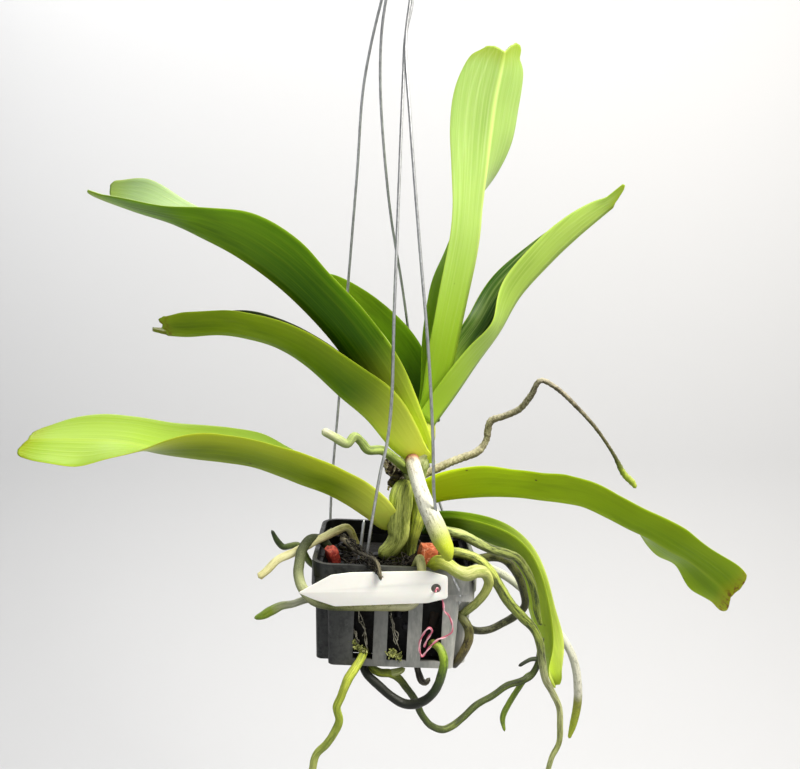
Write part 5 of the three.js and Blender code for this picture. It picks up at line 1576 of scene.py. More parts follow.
@dataclass(frozen=True)
class Basket:
    """The square basket with notched corners, four slotted panels and a rim with corner lugs.
    It leans a little on its wires."""

    finish: Material
    centre: Point = (1.7, -1.2, -1.6)
    yaw: float = math.radians(1)
    tilt: float = math.radians(-3)
    lean: float = math.radians(2.6)
    height: float = 48.5
    base_half: float = 35
    top_half: float = 37
    base_span: float = 29
    top_span: float = 31
    edge_radius: float = 3
    corner_steps: int = 6
    wall: float = 2.2
    floor: float = 2.5
    rim_bottom: float = 36.5
    rim_half: float = 38.2
    rim_radius: float = 9
    lug_bottom: float = 33
    lug_top: float = 41.5
    lug_half: float = 37
    lug_radius: float = 4
    slot_pitch: float = 15.6
    slot_shift: float = 2.4
    slot_width: float = 9.2
    slot_bottom: float = 3.2
    slot_top: float = 33
    floor_slot_inner: float = 3
    floor_slot_outer: float = 27
    over: float = 2
    through: float = 100
    rounding: float = 0.45
    rounding_from: float = 35
    crease: float = 28

    def place(self, points: np.ndarray) -> np.ndarray:
        """Turn points of the upright basket to where it hangs."""
        return turned(np.asarray(points, float), (0, self.lean, 0), (self.tilt, 0, self.yaw)) + self.centre

    def half(self, z: float) -> float:
        """Half width across two panels at a height."""
        return self.base_half + (self.top_half - self.base_half) * z / self.height

    def span(self, z: float) -> float:
        """Half length of one panel at a height."""
        return self.base_span + (self.top_span - self.base_span) * z / self.height

    def loop(self, halves: tuple[float, float], radius: float, z: float) -> list[Point]:
        """A loop with four round corners.

        Args:
            halves: half its width and half its depth.
            radius: of its corners.
            z: its height.

        Returns:
            The loop's points.
        """
        out = []
        for corner, (sx, sy) in enumerate(QUARTERS):
            for k in range(self.corner_steps + 1):
                angle = (corner + k / self.corner_steps) * math.pi / 2
                x = sx * (halves[0] - radius) + radius * math.cos(angle)
                y = sy * (halves[1] - radius) + radius * math.sin(angle)
                out.append((x, y, z))
        return out

    def shell(self, levels: Sequence[tuple[tuple[float, float], float, float]]) -> Thing:
        """Stack loops, each of two halves, a corner radius and a height, into a solid."""
        points = [p for level in levels for p in self.loop(*level)]
        return helper(points, ring_faces(len(levels), len(points) // len(levels)))

    def square(self, half: float, radius: float, start: float, end: float) -> Thing:
        """A square solid with round corners, from one height to another."""
        return self.shell([((half, half), radius, z) for z in (start, end)])

    def notched(self, start: float, end: float, inset: float, radius: float) -> Thing:
        """A box with notched upright corners, as two boxes joined.

        Args:
            start: its underside.
            end: its top.
            inset: how far it is set in from the basket's outside.
            radius: of its upright edges.

        Returns:
            A helper object.
        """
        sizes = [(self.half(z) - inset, self.span(z) - inset, z) for z in (start, end)]
        body = self.shell([((half, span), radius, z) for half, span, z in sizes])
        combine(body, [self.shell([((span, half), radius, z) for half, span, z in sizes])], Meeting.JOINED)
        return body

    def block(self, size: Point, centre: Point) -> Thing:
        """A plain block to cut with.

        Args:
            size: its three sizes.
            centre: its middle.

        Returns:
            A helper object.
        """
        x, y, z = (s / 2 for s in size)
        corners = [(-x, -y), (x, -y), (x, y), (-x, y)]
        points = [(centre[0] + a, centre[1] + b, centre[2] + c) for c in (-z, z) for a, b in corners]
        return helper(points, ring_faces(2, 4))

    def rim_and_lugs(self) -> list[Thing]:
        """Make the rim and the four corner lugs below it.

        Returns:
            The helpers to join.
        """
        joins = [self.square(self.rim_half, self.rim_radius, self.rim_bottom, self.height)]
        inner = self.base_span - self.wall / 2
        size = self.lug_half - inner + self.over
        for sx, sy in QUARTERS:
            lug = self.square(self.lug_half, self.lug_radius, self.lug_bottom, self.lug_top)
            middle = (sx * (inner + size / 2), sy * (inner + size / 2), 0)
            combine(lug, [self.block((size, size, 4 * self.lug_top), middle)], Meeting.COMMON)
            joins.append(lug)
        return joins

    def hollows(self) -> list[Thing]:
        """Make the inside, the mouth and the slots of walls and floor.

        Returns:
            The helpers to cut with.
        """
        above = self.height + self.over
        mouth = self.rim_half - self.wall
        cuts = [
            self.notched(self.floor, above, self.wall, self.edge_radius - self.wall),
            self.square(mouth, self.rim_radius - self.wall, self.lug_top, above),
        ]
        slot_height = self.slot_top - self.slot_bottom
        slot_middle = (self.slot_top + self.slot_bottom) / 2
        floor_size = (self.slot_width, self.floor_slot_outer - self.floor_slot_inner, 3 * self.floor)
        floor_middle = (self.floor_slot_outer + self.floor_slot_inner) / 2
        for column in (-1, 0, 1):
            offset = column * self.slot_pitch
            shifted = offset + self.slot_shift
            cuts.append(self.block((self.slot_width, self.through, slot_height), (shifted, 0, slot_middle)))
            cuts.append(self.block((self.through, self.slot_width, slot_height), (0, offset, slot_middle)))
            for side in (-1, 1):
                cuts.append(self.block(floor_size, (shifted, side * floor_middle, 0)))
        return cuts

    def inside(self, points: np.ndarray) -> np.ndarray:
        """Tell the basket's inside from its outside.

        Args:
            points: rows of x, y, z of the upright basket.

        Returns:
            1 for each point on the inside, 0 on the outside.
        """
        x, y = np.abs(points[:, 0]), np.abs(points[:, 1])
        z = points[:, 2]
        half, span = self.half(z), self.span(z)
        depth = np.maximum(np.minimum(half - x, span - y), np.minimum(span - x, half - y))
        depth = np.where(z > self.lug_top - 0.1, self.rim_half - np.maximum(x, y), depth)
        return np.where(z > self.floor / 2, np.clip(depth - 1, 0, 1), 0.0)

    def build(self) -> None:
        """Make the basket."""
        body = self.notched(0, self.height, 0, self.edge_radius)
        combine(body, self.rim_and_lugs(), Meeting.JOINED)
        combine(body, self.hollows(), Meeting.CUT)
        bevel = body.modifiers.new("rounding", "BEVEL")
        bevel.width, bevel.segments, bevel.limit_method = self.rounding, 2, "ANGLE"
        bevel.angle_limit = math.radians(self.rounding_from)
        bake_modifiers(body)
        upright = mesh_points(body.data)
        write_value(body.data, "inside", self.inside(upright))
        move_points(body.data, self.place(upright))
        coat(body.data, self.finish, self.crease)
        body.name = body.data.name = "basket_with_slots"
        settle(body, ["slotted_basket"])


# The growing medium and what lies and grows on it


def chunk(size: Point, squareness: float, roughness: float, seed: int) -> tuple[np.ndarray, Faces]:
    """A broken piece of bark, charcoal or brick.

    Args:
        size: its half sizes.
        squareness: 0 leaves it round, 1 makes it a box.
        roughness: how deep its surface is broken, as a share of its size.
        seed: for its form.

    Returns:
        Its points round the origin and its faces.
    """
    form = bmesh.new()
    bmesh.ops.create_icosphere(form, subdivisions=3, radius=1)
    ball = np.array([v.co[:] for v in form.verts])
    faces = [tuple(v.index for v in f.verts) for f in form.faces]
    form.free()
    square = ball / np.abs(ball).max(axis=1)[:, None]
    points = ball + (square - ball) * squareness
    coarse = rough(points, 0.9, seed)
    fine = rough(points * (1, 2.5, 2.5), 0.33, seed + 50)
    points = points * (1 + roughness * (coarse + 0.45 * fine))[:, None]
    return points * np.asarray(size, float), faces


def curled_flake(
    long: float, wide: float, curl: float, seed: int,
    thickness: float = 0.22, rows: int = 14, columns: int = 7,
) -> tuple[np.ndarray, Faces]:
    """A small curled scrap with a torn outline.

    Args:
        long: its length.
        wide: its width.
        curl: how far it rolls up across, in radians.
        seed: for its form.
        thickness: of the scrap.
        rows: lines of points along it.
        columns: points in each line.

    Returns:
        Its points and faces.
    """
    points = []
    for t in np.arange(rows) / (rows - 1):
        taper = math.sqrt(max(math.sin(math.pi * (0.08 + 0.84 * t)), 0.05))
        tear = 1 + 0.35 * noise.noise(Vector((t * 5, seed * 1.7, 0)))
        half = wide / 2 * taper * tear
        line = []
        for k in range(columns):
            s = 2 * k / (columns - 1) - 1
            lift = 0.6 * noise.noise(Vector((t * 3, s * 1.5, seed * 2.3)))
            x = half * math.sin(curl * s) / max(math.sin(curl), 0.3)
            line.append((x, half * (1 - math.cos(curl * s)) + lift, long * (t - 0.5)))
        points += line + [(x, y + thickness, z) for x, y, z in reversed(line)]
    return np.array(points), ring_faces(rows, 2 * columns)


@dataclass(frozen=True)
class Medium:
    """The dark mass inside the basket, painted as shadow, which shows only between the chunks round it."""

    finish: Material
    basket: Basket
    bottom: float = 4.0
    top: float = 38.0
    gap: float = 3.0
    levels: int = 16
    hill: float = 5.0
    sway: float = 1.6
    seed: int = 11

    def build(self) -> None:
        """Make the core."""
        inset = self.basket.wall + self.gap
        loops = []
        for z in np.linspace(self.bottom, self.top, self.levels):
            wide, deep = self.basket.half(z) - inset, self.basket.span(z) - inset
            panel = [(wide, 0), (wide, deep * 0.5), (wide, deep)]
            quarter = panel + [(deep + 1, deep + 1), (deep, wide), (deep * 0.5, wide)]
            for c, s in ((1, 0), (0, 1), (-1, 0), (0, -1)):
                loops += [(c * x - s * y, s * x + c * y, z) for x, y in quarter]
        points = np.array(loops)
        sway = rough(points, self.hill, self.seed) * self.sway
        flat = np.linalg.norm(points[:, :2], axis=1)[:, None]
        points[:, :2] *= 1 + sway[:, None] / flat
        skin = Skin()
        skin.add(self.basket.place(points), ring_faces(self.levels, len(points) // self.levels))
        skin.build("medium_core", self.finish, Slot.BARK, ["growing_medium"], crease=40)


@dataclass(frozen=True)
class Chunks:
    """Loose chunks all round the core's sides and on its top, two in five of them on top."""

    finish: Material
    basket: Basket
    name: str
    count: int
    sizes: tuple[float, float]
    seed: int
    spread: float = 28.0
    heap: float = 3.0
    top: tuple[float, float] = (38.5, 43.0)
    side: tuple[float, float] = (6.0, 36.0)

    def build(self) -> None:
        """Make the chunks, as one piece."""
        dice = random.Random(self.seed)
        skin = Skin()
        for number in range(self.count):
            long = dice.uniform(*self.sizes)
            size = (long, long * dice.uniform(0.45, 0.7), long * dice.uniform(0.25, 0.5))
            points, faces = chunk(size, 0.62, 0.2, self.seed + number)
            if number % 5 < 2:
                lie = (dice.uniform(-0.6, 0.6), dice.uniform(-0.6, 0.6), dice.uniform(0, 2 * math.pi))
                x, y = (dice.uniform(-self.spread, self.spread) for _ in range(2))
                hill = self.heap * (1 - (x / self.spread) ** 2) * (0.5 + 0.5 * y / self.spread)
                spot = (x, y, dice.uniform(*self.top) + hill)
            else:
                lie = tuple(dice.uniform(0, 2 * math.pi) for _ in range(3))
                z = dice.uniform(*self.side)
                out = self.basket.half(z) - self.basket.wall - long * 0.8 - 0.6
                slide = dice.uniform(-1, 1) * (self.basket.span(z) - self.basket.wall - long)
                a, b = dice.choice(((0, 1), (0, -1), (1, 0), (-1, 0)))
                spot = (a * out + abs(b) * slide, b * out + abs(a) * slide, z)
            skin.add(self.basket.place(turned(points, lie) + spot), faces)
        skin.build(self.name, self.finish, Slot.BARK, crease=50)


@dataclass(frozen=True)
class Fibres:
    """A tangle of thin dead fibres along a few lines."""

    finish: Material
    name: str
    lines: tuple[tuple[Point, Point], ...]
    count: int
    stray: float
    radius: float
    seed: int

    def build(self) -> None:
        """Make the fibres."""
        dice = random.Random(self.seed)
        skin = Skin()
        for start, end in self.lines:
            for _ in range(self.count):
                share = dice.uniform(0, 0.4), dice.uniform(0.6, 1)
                points = [np.array(start) + (np.array(end) - start) * t for t in np.linspace(*share, 5)]
                astray = [p + [dice.gauss(0, self.stray) for _ in range(3)] for p in points]
                route = tuple((*p, self.radius) for p in astray)
                Rod(route, sides=5, step=0.8, relief=SMOOTH).add_to(skin)
        skin.build(self.name, self.finish, Slot.DEAD)


@dataclass(frozen=True)
class Moss:
    """Tufts of small leafy moss that grow out of the slots and on the medium."""

    finish: Material
    tufts: tuple[tuple[Point, float], ...] = (
        ((-12.7, -36, 9.5), 2.8), ((-15, -35.6, 12), 2.2), ((-9.6, -36, 7.8), 2), ((2.6, -36, 7), 3),
        ((6, -36, 5.4), 2.6), ((-26, -14, 46.6), 3), ((22, -18, 48), 2.4), ((-8, -20, 45.4), 2.8),
    )
    leaves: int = 16
    seed: int = 31

    def build(self) -> None:
        """Make the moss."""
        dice = random.Random(self.seed)
        skin = Skin()
        for place, size in self.tufts:
            for number in range(self.leaves):
                points, faces = curled_flake(size * dice.uniform(0.6, 1.1), size * 0.32, 0.8, number)
                angles = [dice.uniform(-1.2, 1.2), dice.uniform(-0.9, 0.9), dice.uniform(0, 2 * math.pi)]
                shift = [dice.gauss(0, share * size) for share in (0.3, 0.15, 0.25)]
                skin.add(turned(points, angles) + np.array(place) + shift, faces)
        skin.build("moss_tufts", self.finish, Slot.ROOT_GREEN)


@dataclass(frozen=True)
class Chip:
    """A broken piece of brick on the medium."""

    finish: Material
    node: str
    centre: Point
    size: Point
    turn: Point
    seed: int

    def build(self) -> None:
        """Make the chip."""
        points, faces = chunk([side / 2 for side in self.size], 0.72, 0.1, self.seed)
        skin = Skin()
        skin.add(turned(points, self.turn) + self.centre, faces)
        skin.build(self.node + "_broken", self.finish, Slot.BRICK, [self.node], crease=60)


# Dead tissue


@dataclass(frozen=True)
class DeadTissue:
    """Shrivelled sheath scraps on the stem: dark lumps and papery flakes."""

    dark: Material
    papery: Material
    lumps: tuple[tuple[Point, float], ...] = (
        ((2, -6.5, 86), 3), ((5, -7.5, 82.5), 3.2), ((0.5, -5.5, 88.5), 2.2), ((6, -7, 86), 2.6),
        ((3, -7.5, 79.5), 2.4),
    )
    flakes: int = 16
    seed: int = 5

    def build_lumps(self) -> None:
        """Make the dark lumps."""
        skin = Skin()
        for number, (centre, radius) in enumerate(self.lumps):
            points, faces = chunk((radius * 0.95,) * 3, 0.1, 0.4, self.seed + number)
            skin.add(points + np.asarray(centre, float), faces)
        skin.build("dead_sheath_lumps", self.dark, Slot.DEAD, ["dead_sheath_scraps"], crease=70)

    def build_flakes(self) -> None:
        """Make the papery flakes that stand off the lumps."""
        dice = random.Random(self.seed)
        skin = Skin()
        for number in range(self.flakes):
            centre, radius = self.lumps[number % len(self.lumps)]
            long, wide = dice.uniform(3.0, 6.5), dice.uniform(1.0, 2.4)
            points, faces = curled_flake(long, wide, dice.uniform(0.5, 1.4), self.seed + number)
            angles = [dice.uniform(-1.2, 1.2), dice.uniform(-1.0, 1.0), dice.uniform(0, 2 * math.pi)]
            shift = np.array([dice.uniform(-1, 1), -abs(dice.uniform(0.3, 1)), dice.uniform(-1, 1)]) * radius
            skin.add(turned(points, angles) + np.asarray(centre, float) + shift, faces)
        skin.build("dead_sheath_flakes", self.papery, Slot.DEAD)


# Hanger, tag and tie


@dataclass(frozen=True)
class Hanger:
    """Four wires, the collar that gathers them and the hook."""

    finish: Material
    wire: float = 0.7
    hook_wire: float = 1.3
    ring_radius: float = 9
    ring_centre: tuple[float, float, float] = (14, -1, 392)
    ring_start: float = -100
    ring_end: float = -320
    ring_steps: int = 22
    shank_below: float = 6
    shank_above: float = 8
    collar_bottom: float = 343
    collar_top: float = 362
    collar_radius: float = 3.6
    collar_sides: int = 32
    collar_levels: int = 48
    crimps: tuple[float, float] = (4.5, 10)
    crimp_depth: float = 0.5
    crimp_width: float = 0.9
    shoulder: float = 4.2
    routes: dict[str, tuple[Point, ...]] = field(default_factory=lambda: {
        "hanger_wire_back_left": (
            (12.2, 0.6, 350), (7, 11, 330), (-2, 22, 307), (-11, 30, 271), (-15, 35, 229),
            (-20, 39, 177), (-26, 41, 112), (-30, 41, 70), (-31, 37, 50), (-31, 34.5, 38),
            (-30.6, 33.6, 29), (-29, 32, 26.6), (-27, 31, 28),
        ),
        "hanger_wire_back_right": (
            (15.8, 0.8, 350), (9, 10, 330), (0, 20, 306), (-3, 26, 276), (1, 34, 215), (8, 40, 170),
            (15, 43, 120), (22, 43, 76), (29, 40, 52), (34, 36, 40), (35, 34, 30), (33.6, 33, 24),
            (32, 32, 23), (30, 31, 24.4),
        ),
        "hanger_wire_front_left": (
            (12.4, -2.8, 350), (12, -8, 320), (12, -10, 297), (9, -12, 282), (8, -15, 263),
            (6, -24, 213), (4, -36, 160), (3, -40, 126), (1, -40, 107), (-2, -37, 93), (-6, -32, 69),
            (-9, -29, 50), (-11, -27, 40), (-12.5, -26.5, 35), (-14, -26, 40), (-12, -25.5, 52),
            (-10, -25, 67),
        ),
        "hanger_wire_front_right": (
            (15.8, -2.6, 350), (14, -8, 320), (11, -11, 297), (9, -13, 279), (11, -18, 246),
            (15, -25, 194), (19, -33, 146), (21, -37, 108), (22, -38, 79), (25, -39, 63), (28, -40, 51),
            (31, -39, 43.5), (33.6, -36, 37), (34, -34, 31), (33, -32, 28.6), (31, -30.6, 29.6),
        ),
    })

    def build_wires(self) -> None:
        """Make the four wires."""
        for name, route in self.routes.items():
            skin = Skin()
            drawn = tuple((*p, self.wire) for p in route)
            Rod(drawn, sides=12, step=2.0, relief=SMOOTH, domes=(0.4, 0.5)).add_to(skin)
            skin.build(name + "_drawn", self.finish, Slot.WIRE, [name])

    def build_hook(self) -> None:
        """Make the hook: a shank held in the collar and an open ring."""
        x, y, z = self.ring_centre
        route = [(x, y, self.collar_top - self.shank_below), (x, y, self.collar_top + self.shank_above)]
        for i in range(self.ring_steps + 1):
            angle = math.radians(self.ring_start + (self.ring_end - self.ring_start) * i / self.ring_steps)
            route.append((x + self.ring_radius * math.cos(angle), y, z + self.ring_radius * math.sin(angle)))
        bent = tuple((*p, self.hook_wire) for p in route)
        skin = Skin()
        Rod(bent, sides=18, step=0.8, relief=SMOOTH, domes=(0.5, 0.9)).add_to(skin)
        skin.build("hanger_hook_bent", self.finish, Slot.WIRE, ["hanger_hook"])

    def build_collar(self) -> None:
        """Make the collar, crimped twice and rounded at its rims."""
        x, y, _ = self.ring_centre
        height = self.collar_top - self.collar_bottom
        levels = np.linspace(0, height, self.collar_levels)
        radii = np.full(len(levels), self.collar_radius)
        pinches = [np.exp(-(((levels - at) / self.crimp_width) ** 2)) for at in self.crimps]
        radii -= sum(self.crimp_depth * pinch for pinch in pinches)
        radii -= 1.2 * fade(levels, height - self.shoulder, height)
        radii -= 0.4 * (1 - fade(levels, 0, 0.8)) + 0.3 * fade(levels, height - 0.7, height)
        angles = np.arange(self.collar_sides) / self.collar_sides * 2 * math.pi
        points = [
            (x + r * math.cos(a), y + r * math.sin(a), self.collar_bottom + h)
            for r, h in zip(radii, levels) for a in angles
        ]
        skin = Skin()
        skin.add(np.array(points), ring_faces(len(levels), self.collar_sides))
        skin.build("hanger_collar_crimped", self.finish, Slot.WIRE, ["hanger_collar"], crease=50)


@dataclass(frozen=True)
class Tag:
    """The plain plant label with its punched hole, on a turned plane of its own."""

    finish: Material
    thickness: float = 0.8
    centre_x: float = 1.2
    yaw: float = math.radians(2)
    plane: float = -43.6
    outline: tuple[tuple[float, float], ...] = (
        (-41.2, 40), (-26.6, 48), (-18.2, 49), (16.4, 49.3), (25.1, 46.6), (25.2, 36.5), (16.2, 34.3),
        (-25.1, 33.4), (-34.6, 36.9),
    )
    corner: float = 1.0
    corner_steps: int = 5
    hole_centre: tuple[float, float] = (19.9, 41.1)
    hole_radius: float = 2.2
    hole_sides: int = 40
    rounding: float = 0.18

    def build(self) -> None:
        """Make the tag."""
        flat = bpy.data.curves.new("tag_outline", "CURVE")
        flat.dimensions, flat.fill_mode = "2D", "BOTH"
        flat.extrude = self.thickness / 2 - self.rounding
        flat.bevel_depth, flat.bevel_resolution, flat.offset = self.rounding, 2, -self.rounding
        for line in (self.rounded_outline(), self.hole()):
            strand = flat.splines.new("POLY")
            strand.points.add(len(line) - 1)
            strand.points.foreach_set("co", [v for px, pz in line for v in (px, pz, 0, 1)])
            strand.use_cyclic_u = True
        sheet = put("tag_outline", flat)
        mesh = evaluated(sheet)
        bpy.data.objects.remove(sheet)
        form = bmesh.new()
        form.from_mesh(mesh)
        bmesh.ops.remove_doubles(form, verts=form.verts, dist=0.001)
        bmesh.ops.triangulate(form, faces=[f for f in form.faces if len(f.verts) > 4])
        form.to_mesh(mesh)
        form.free()
        face_out(mesh)
        x, z, depth = mesh_points(mesh).T
        upright = np.column_stack([x, self.plane + self.thickness / 2 - depth, z])
        move_points(mesh, turned(upright, (0, 0, self.yaw)) + (self.centre_x, 0, 0))
        coat(mesh, self.finish, 40)
        settle(put("name_tag_plain", mesh), ["name_tag"])

    def hole(self) -> list[tuple[float, float]]:
        """Outline the punched hole.

        Returns:
            Points of x and z.
        """
        x, z = self.hole_centre
        angles = np.arange(self.hole_sides) / self.hole_sides * 2 * math.pi
        return [(x + self.hole_radius * math.cos(a), z + self.hole_radius * math.sin(a)) for a in angles]

    def rounded_outline(self) -> list[tuple[float, float]]:
        """The sheet's outline with its corners rounded.

        Returns:
            The outline's points.
        """
        out = []
        count = len(self.outline)
        for i, corner in enumerate(self.outline):
            here = np.array(corner)
            before, after = (np.array(self.outline[(i + d) % count]) for d in (-1, 1))
            start = here + self.corner * (before - here) / np.linalg.norm(before - here)
            end = here + self.corner * (after - here) / np.linalg.norm(after - here)
            for t in np.arange(self.corner_steps + 1) / self.corner_steps:
                out.append(tuple((1 - t) ** 2 * start + 2 * t * (1 - t) * here + t * t * end))
        return out


@dataclass(frozen=True)
class Tie:
    """A wire-cored twist tie of two strands, red and white, that ends in loose loops."""

    finish: Material
    radius: float = 0.3
    offset: float = 0.24
    twist: float = 9.0
    strands: tuple[str, str] = ("d46a82", "edb7c0")
    fleck: str = "8c1f30"
    route: tuple[Point, ...] = (
        (22.2, -45.4, 40.4), (23, -43.5, 41.5), (24.2, -41, 39), (26, -41.6, 33.5), (26.4, -41.6, 30),
        (28.6, -41, 27.3), (30.1, -40.5, 23.3), (30, -39.8, 19.2), (27.4, -39.6, 16.8),
        (23.2, -41, 15.6), (19.3, -41.2, 11.5), (16.6, -41.4, 8.2), (15.2, -42, 12.6),
        (16.6, -42.5, 18.6), (19.6, -42.6, 22.4), (21, -42, 20.8), (18.8, -41.4, 16.2),
        (17.4, -41, 12.4),
    )

    def build(self) -> None:
        """Make the tie."""
        samples, _ = spline(self.route, 0.7)
        lengths = distances(samples)
        tangents = np.gradient(samples, axis=0)
        side = np.cross(tangents, (0, 1, 0))
        side /= np.maximum(np.linalg.norm(side, axis=1), 1e-6)[:, None]
        other = np.cross(tangents / np.linalg.norm(tangents, axis=1)[:, None], side)
        skin = Skin()
        for strand, tint in enumerate(self.strands):
            angle = (2 * math.pi * lengths / self.twist + strand * math.pi)[:, None]
            line = samples + self.offset * (np.cos(angle) * side + np.sin(angle) * other)
            rod = Rod(tuple((*p, self.radius) for p in line), sides=8, step=0.7, relief=SMOOTH, seed=strand)
            rod.add_to(skin, {0: tint}, {0: self.fleck})
        skin.build("twist_tie_strands", self.finish, Slot.TIE, ["twist_tie"])


# The studio


@dataclass(frozen=True)
class Studio:
    """Camera, soft lights and a plain pale sweep."""

    camera_place: tuple[float, float, float] = (6.6, -380.0, 186.4)
    pitch_down: float = math.radians(9)
    lens: float = 36.0
    sensor: float = 36.0
    floor_level: float = -330.0
    floor_front: float = -2600.0
    back_wall: float = 620.0
    wall_top: float = 2600.0
    half_width: float = 3200.0
    sweep_radius: float = 260.0
    sweep_steps: int = 16
    middle: tuple[float, float, float] = (10, 0, 110)

    def build_camera(self) -> None:
        """Place the camera at the photo's viewing angle."""
        data = bpy.data.cameras.new("camera")
        data.lens, data.sensor_width = self.lens, self.sensor
        data.clip_start, data.clip_end = 0.01, 20
        camera = put("camera", data)
        camera.location = row_frame(self.camera_place)
        camera.rotation_euler = (math.pi / 2 - self.pitch_down, 0, 0)
        bpy.context.scene.camera = camera

    def build_sweep(self) -> None:
        """A floor that curves up into a wall, both pale."""
        radius, foot = self.sweep_radius, self.back_wall - self.sweep_radius
        profile = [(self.floor_front, self.floor_level), (foot, self.floor_level)]
        for k in range(1, self.sweep_steps + 1):
            angle = k / self.sweep_steps * math.pi / 2
            rise = radius * (1 - math.cos(angle))
            profile.append((foot + radius * math.sin(angle), self.floor_level + rise))
        profile.append((self.back_wall, self.wall_top))
        points = [(x, y, z) for x in (-self.half_width, self.half_width) for y, z in profile]
        count = len(profile)
        mesh = bpy.data.meshes.new("studio_sweep")
        faces = [(k, k + 1, count + k + 1, count + k) for k in range(count - 1)]
        mesh.from_pydata(row_frame(points).tolist(), [], faces)
        coat(mesh, shaded("pale_sweep", {"Roughness": 0.9, "Base Color": colour("d4d5d7")})[0])
        sweep = put("studio_sweep", mesh)

    def light(self, name: str, place: Point, target: Point, size: float, power: float, tone: str) -> None:
        """Hang one soft lamp.

        Args:
            name: its name.
            place: where it hangs, in millimetres.
            target: what it faces.
            size: its side, in metres.
            power: in watts.
            tone: its colour.
        """
        data = bpy.data.lights.new(name, "AREA")
        data.shape, data.size, data.energy = "SQUARE", size, power
        data.color = colour(tone)[:3]
        lamp = put(name, data)
        start, end = Vector(row_frame(place)), Vector(row_frame(target))
        lamp.location = start
        lamp.rotation_mode = "QUATERNION"
        lamp.rotation_quaternion = (end - start).to_track_quat("-Z", "Y")

    def build_lights(self) -> None:
        """A large key above on the right, a weak fill on the left, a back light and a pale world."""
        self.light("key", (520, -300, 900), self.middle, 0.5, 19, "fffaf2")
        self.light("fill", (-500, -800, 200), self.middle, 1.0, 1.5, "f4f8ff")
        self.light("back", (-200, 520, 760), self.middle, 0.6, 5, "ffffff")
        self.light("wall", (-520, 150, 430), (-330, 620, 330), 0.4, 0.7, "ffffff")
        world = bpy.data.worlds.new("pale_world")
        world.use_nodes = True
        world.node_tree.nodes.clear()
        bench = Bench(world.node_tree)
        sky = bench.place("Background", {"Color": colour("f4f7fa"), "Strength": 0.24})
        bench.place("OutputWorld", {"Surface": sky.outputs[0]})
        bpy.context.scene.world = world
        bpy.context.scene.view_settings.view_transform = "Standard"


def velamen() -> dict[Slot, RootFinish]:
    """List the finishes of roots, stem and tie.

    Returns:
        The finish of each slot.
    """
    return {
        Slot.ROOT_PALE: RootFinish("pale_velamen", cover=0.34, scale=0.7, roughness=0.8),
        Slot.ROOT_GREEN: RootFinish(
            "green_velamen", cover=0.44, softness=0.08, scale=0.7, stretch=0.12, streaks=0.75
        ),
        Slot.ROOT_DARK: RootFinish("dark_velamen", cover=0.45, roughness=0.5, chalk=0.08),
        Slot.ROOT_SCALY: RootFinish(
            "scaly_velamen", cover=0.5, stretch=1.2, relief=0.0005, lit_above=0.35, shaded_below=0.85
        ),
        Slot.ROOT_STRAW: RootFinish("dry_velamen", cover=0.42, stretch=0.2),
        Slot.DEAD: RootFinish(
            "dead_velamen", cover=0.4, stretch=0.2, roughness=0.9, relief=0.0006, chalk=0.12
        ),
        Slot.STEM: RootFinish("stem_skin", cover=0.42, scale=0.4, roughness=0.6),
        Slot.TIE: RootFinish(
            "twist_tie_skin", cover=0.2, scale=0.8, roughness=0.5, relief=0.0001, lit_above=0.1,
            shaded_below=0.0,
        ),
    }


def loose_finishes() -> list[LooseFinish]:
    """List the finishes of bark, charcoal, brick, fibres, moss and dead tissue.

    Returns:
        The finishes.
    """
    return [
        LooseFinish("damp_bark", "1e160f", "070504", "5a4a34", light_cover=0.14),
        LooseFinish("charcoal", "1a171c", "050507", "4c4a5a", light_cover=0.14, roughness=0.7),
        LooseFinish("medium_shadow", "0c0a08", "020202", "2c251a", light_cover=0.1),
        LooseFinish("orange_brick", "c4623a", "a04a2a", "e0a07c", size=500, light_cover=0.35),
        LooseFinish("red_brick", "a83a2c", "7c241c", "cf7a62", size=500, light_cover=0.3),
        LooseFinish("dead_fibre_dark", "1a140d", "060403", "7c7460", size=500, light_cover=0.16),
        LooseFinish("dead_fibre_pale", "b0ac98", "5c5848", "e0dccc", size=500, light_cover=0.3),
        LooseFinish("moss_green", "98a04c", "4c5420", "d0d08c", size=600, light_cover=0.4),
        LooseFinish("dead_tissue_dark", "3a2c20", "0f0a07", "93826a", size=420),
        LooseFinish("dead_tissue_paper", "b09c8c", "4c3a30", "e8ddd4", size=420, light_cover=0.4),
    ]


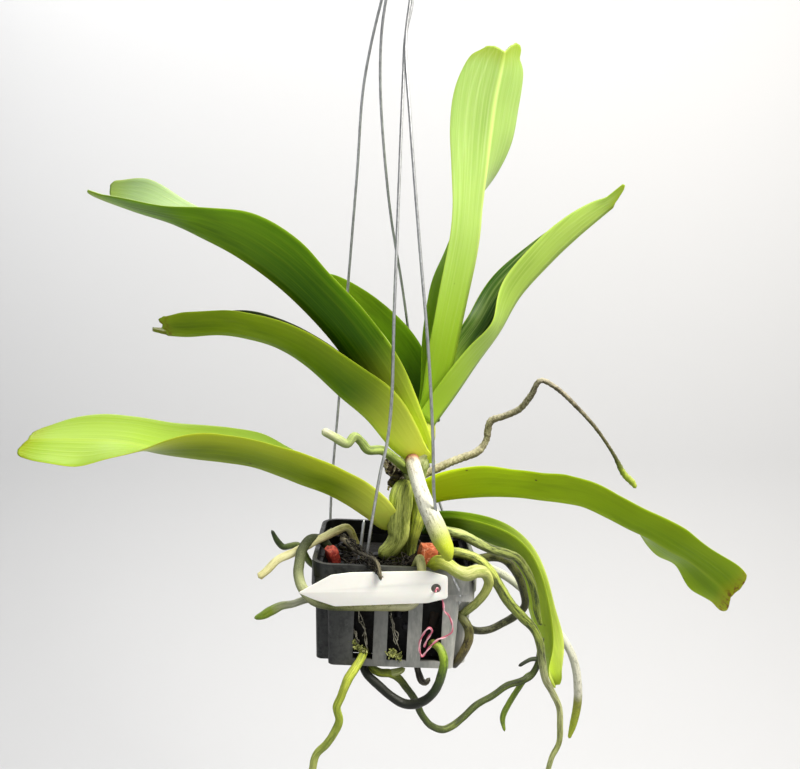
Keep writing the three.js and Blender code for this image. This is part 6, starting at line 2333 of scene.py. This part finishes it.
def main() -> None:
    """Build the studio and every sub-assembly in order."""
    logging.basicConfig(level=logging.INFO, format="%(name)s %(message)s")
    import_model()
    studio = Studio()
    studio.build_camera()
    studio.build_sweep()
    studio.build_lights()

    for build_effect in (build_flecks, build_veins, build_dust, build_wear):
        build_effect()
    skins = {slot: finish.build() for slot, finish in velamen().items()}
    loose = {finish.name: finish.build() for finish in loose_finishes()}
    for blade in LEAVES:
        blade.build()
    for root in ROOTS:
        root.build(skins[root.slot])
    Stem(skins[Slot.STEM]).build()

    basket = Basket(BasketFinish().build())
    basket.build()
    Medium(loose["medium_shadow"], basket).build()
    Chunks(loose["damp_bark"], basket, "bark_chunks", 90, (2.6, 5.2), 21).build()
    Chunks(loose["charcoal"], basket, "charcoal_chunks", 60, (2.2, 4.4), 77).build()
    orange, red = loose["orange_brick"], loose["red_brick"]
    Chip(orange, "brick_chip_orange", (19.4, -20, 47.6), (8.6, 7.6, 11.4), (0.1, 0.18, 0.2), 3).build()
    Chip(red, "brick_chip_red", (-25.2, -19, 47.2), (5.4, 6, 9.6), (0.1, -0.3, 0.5), 4).build()

    dark, pale = loose["dead_fibre_dark"], loose["dead_fibre_pale"]
    over_rim = (((-20.6, -15, 54.8), (-10, -31, 52.8)), ((-10, -31, 52.8), (-2.2, -45.4, 48.4)))
    Fibres(dark, "dead_root_shag", over_rim, 30, 0.9, 0.28, 41).build()
    in_slots = (
        ((-13.6, -34, 30), (-7, -34, 6)), ((-16, -34, 22), (-12, -34, 6)), ((2, -34, 26), (6, -34, 6)),
    )
    Fibres(pale, "pale_slot_fibres", in_slots, 4, 0.7, 0.24, 42).build()
    web = (((-28, -14, 47), (0, -24, 45)), ((-20, -28, 45), (8, -26, 44.6)), ((-4, -30, 44), (16, -12, 45)))
    Fibres(dark, "fibres_on_medium", web, 9, 2.2, 0.26, 43).build()
    Moss(loose["moss_green"]).build()

    hanger = Hanger(WireFinish().build())
    hanger.build_wires()
    hanger.build_collar()
    hanger.build_hook()
    Tag(TagFinish().build()).build()
    Tie(skins[Slot.TIE]).build()
    dead = DeadTissue(loose["dead_tissue_dark"], loose["dead_tissue_paper"])
    dead.build_lumps()
    dead.build_flakes()

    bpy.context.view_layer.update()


if __name__ == "__main__":
    main()
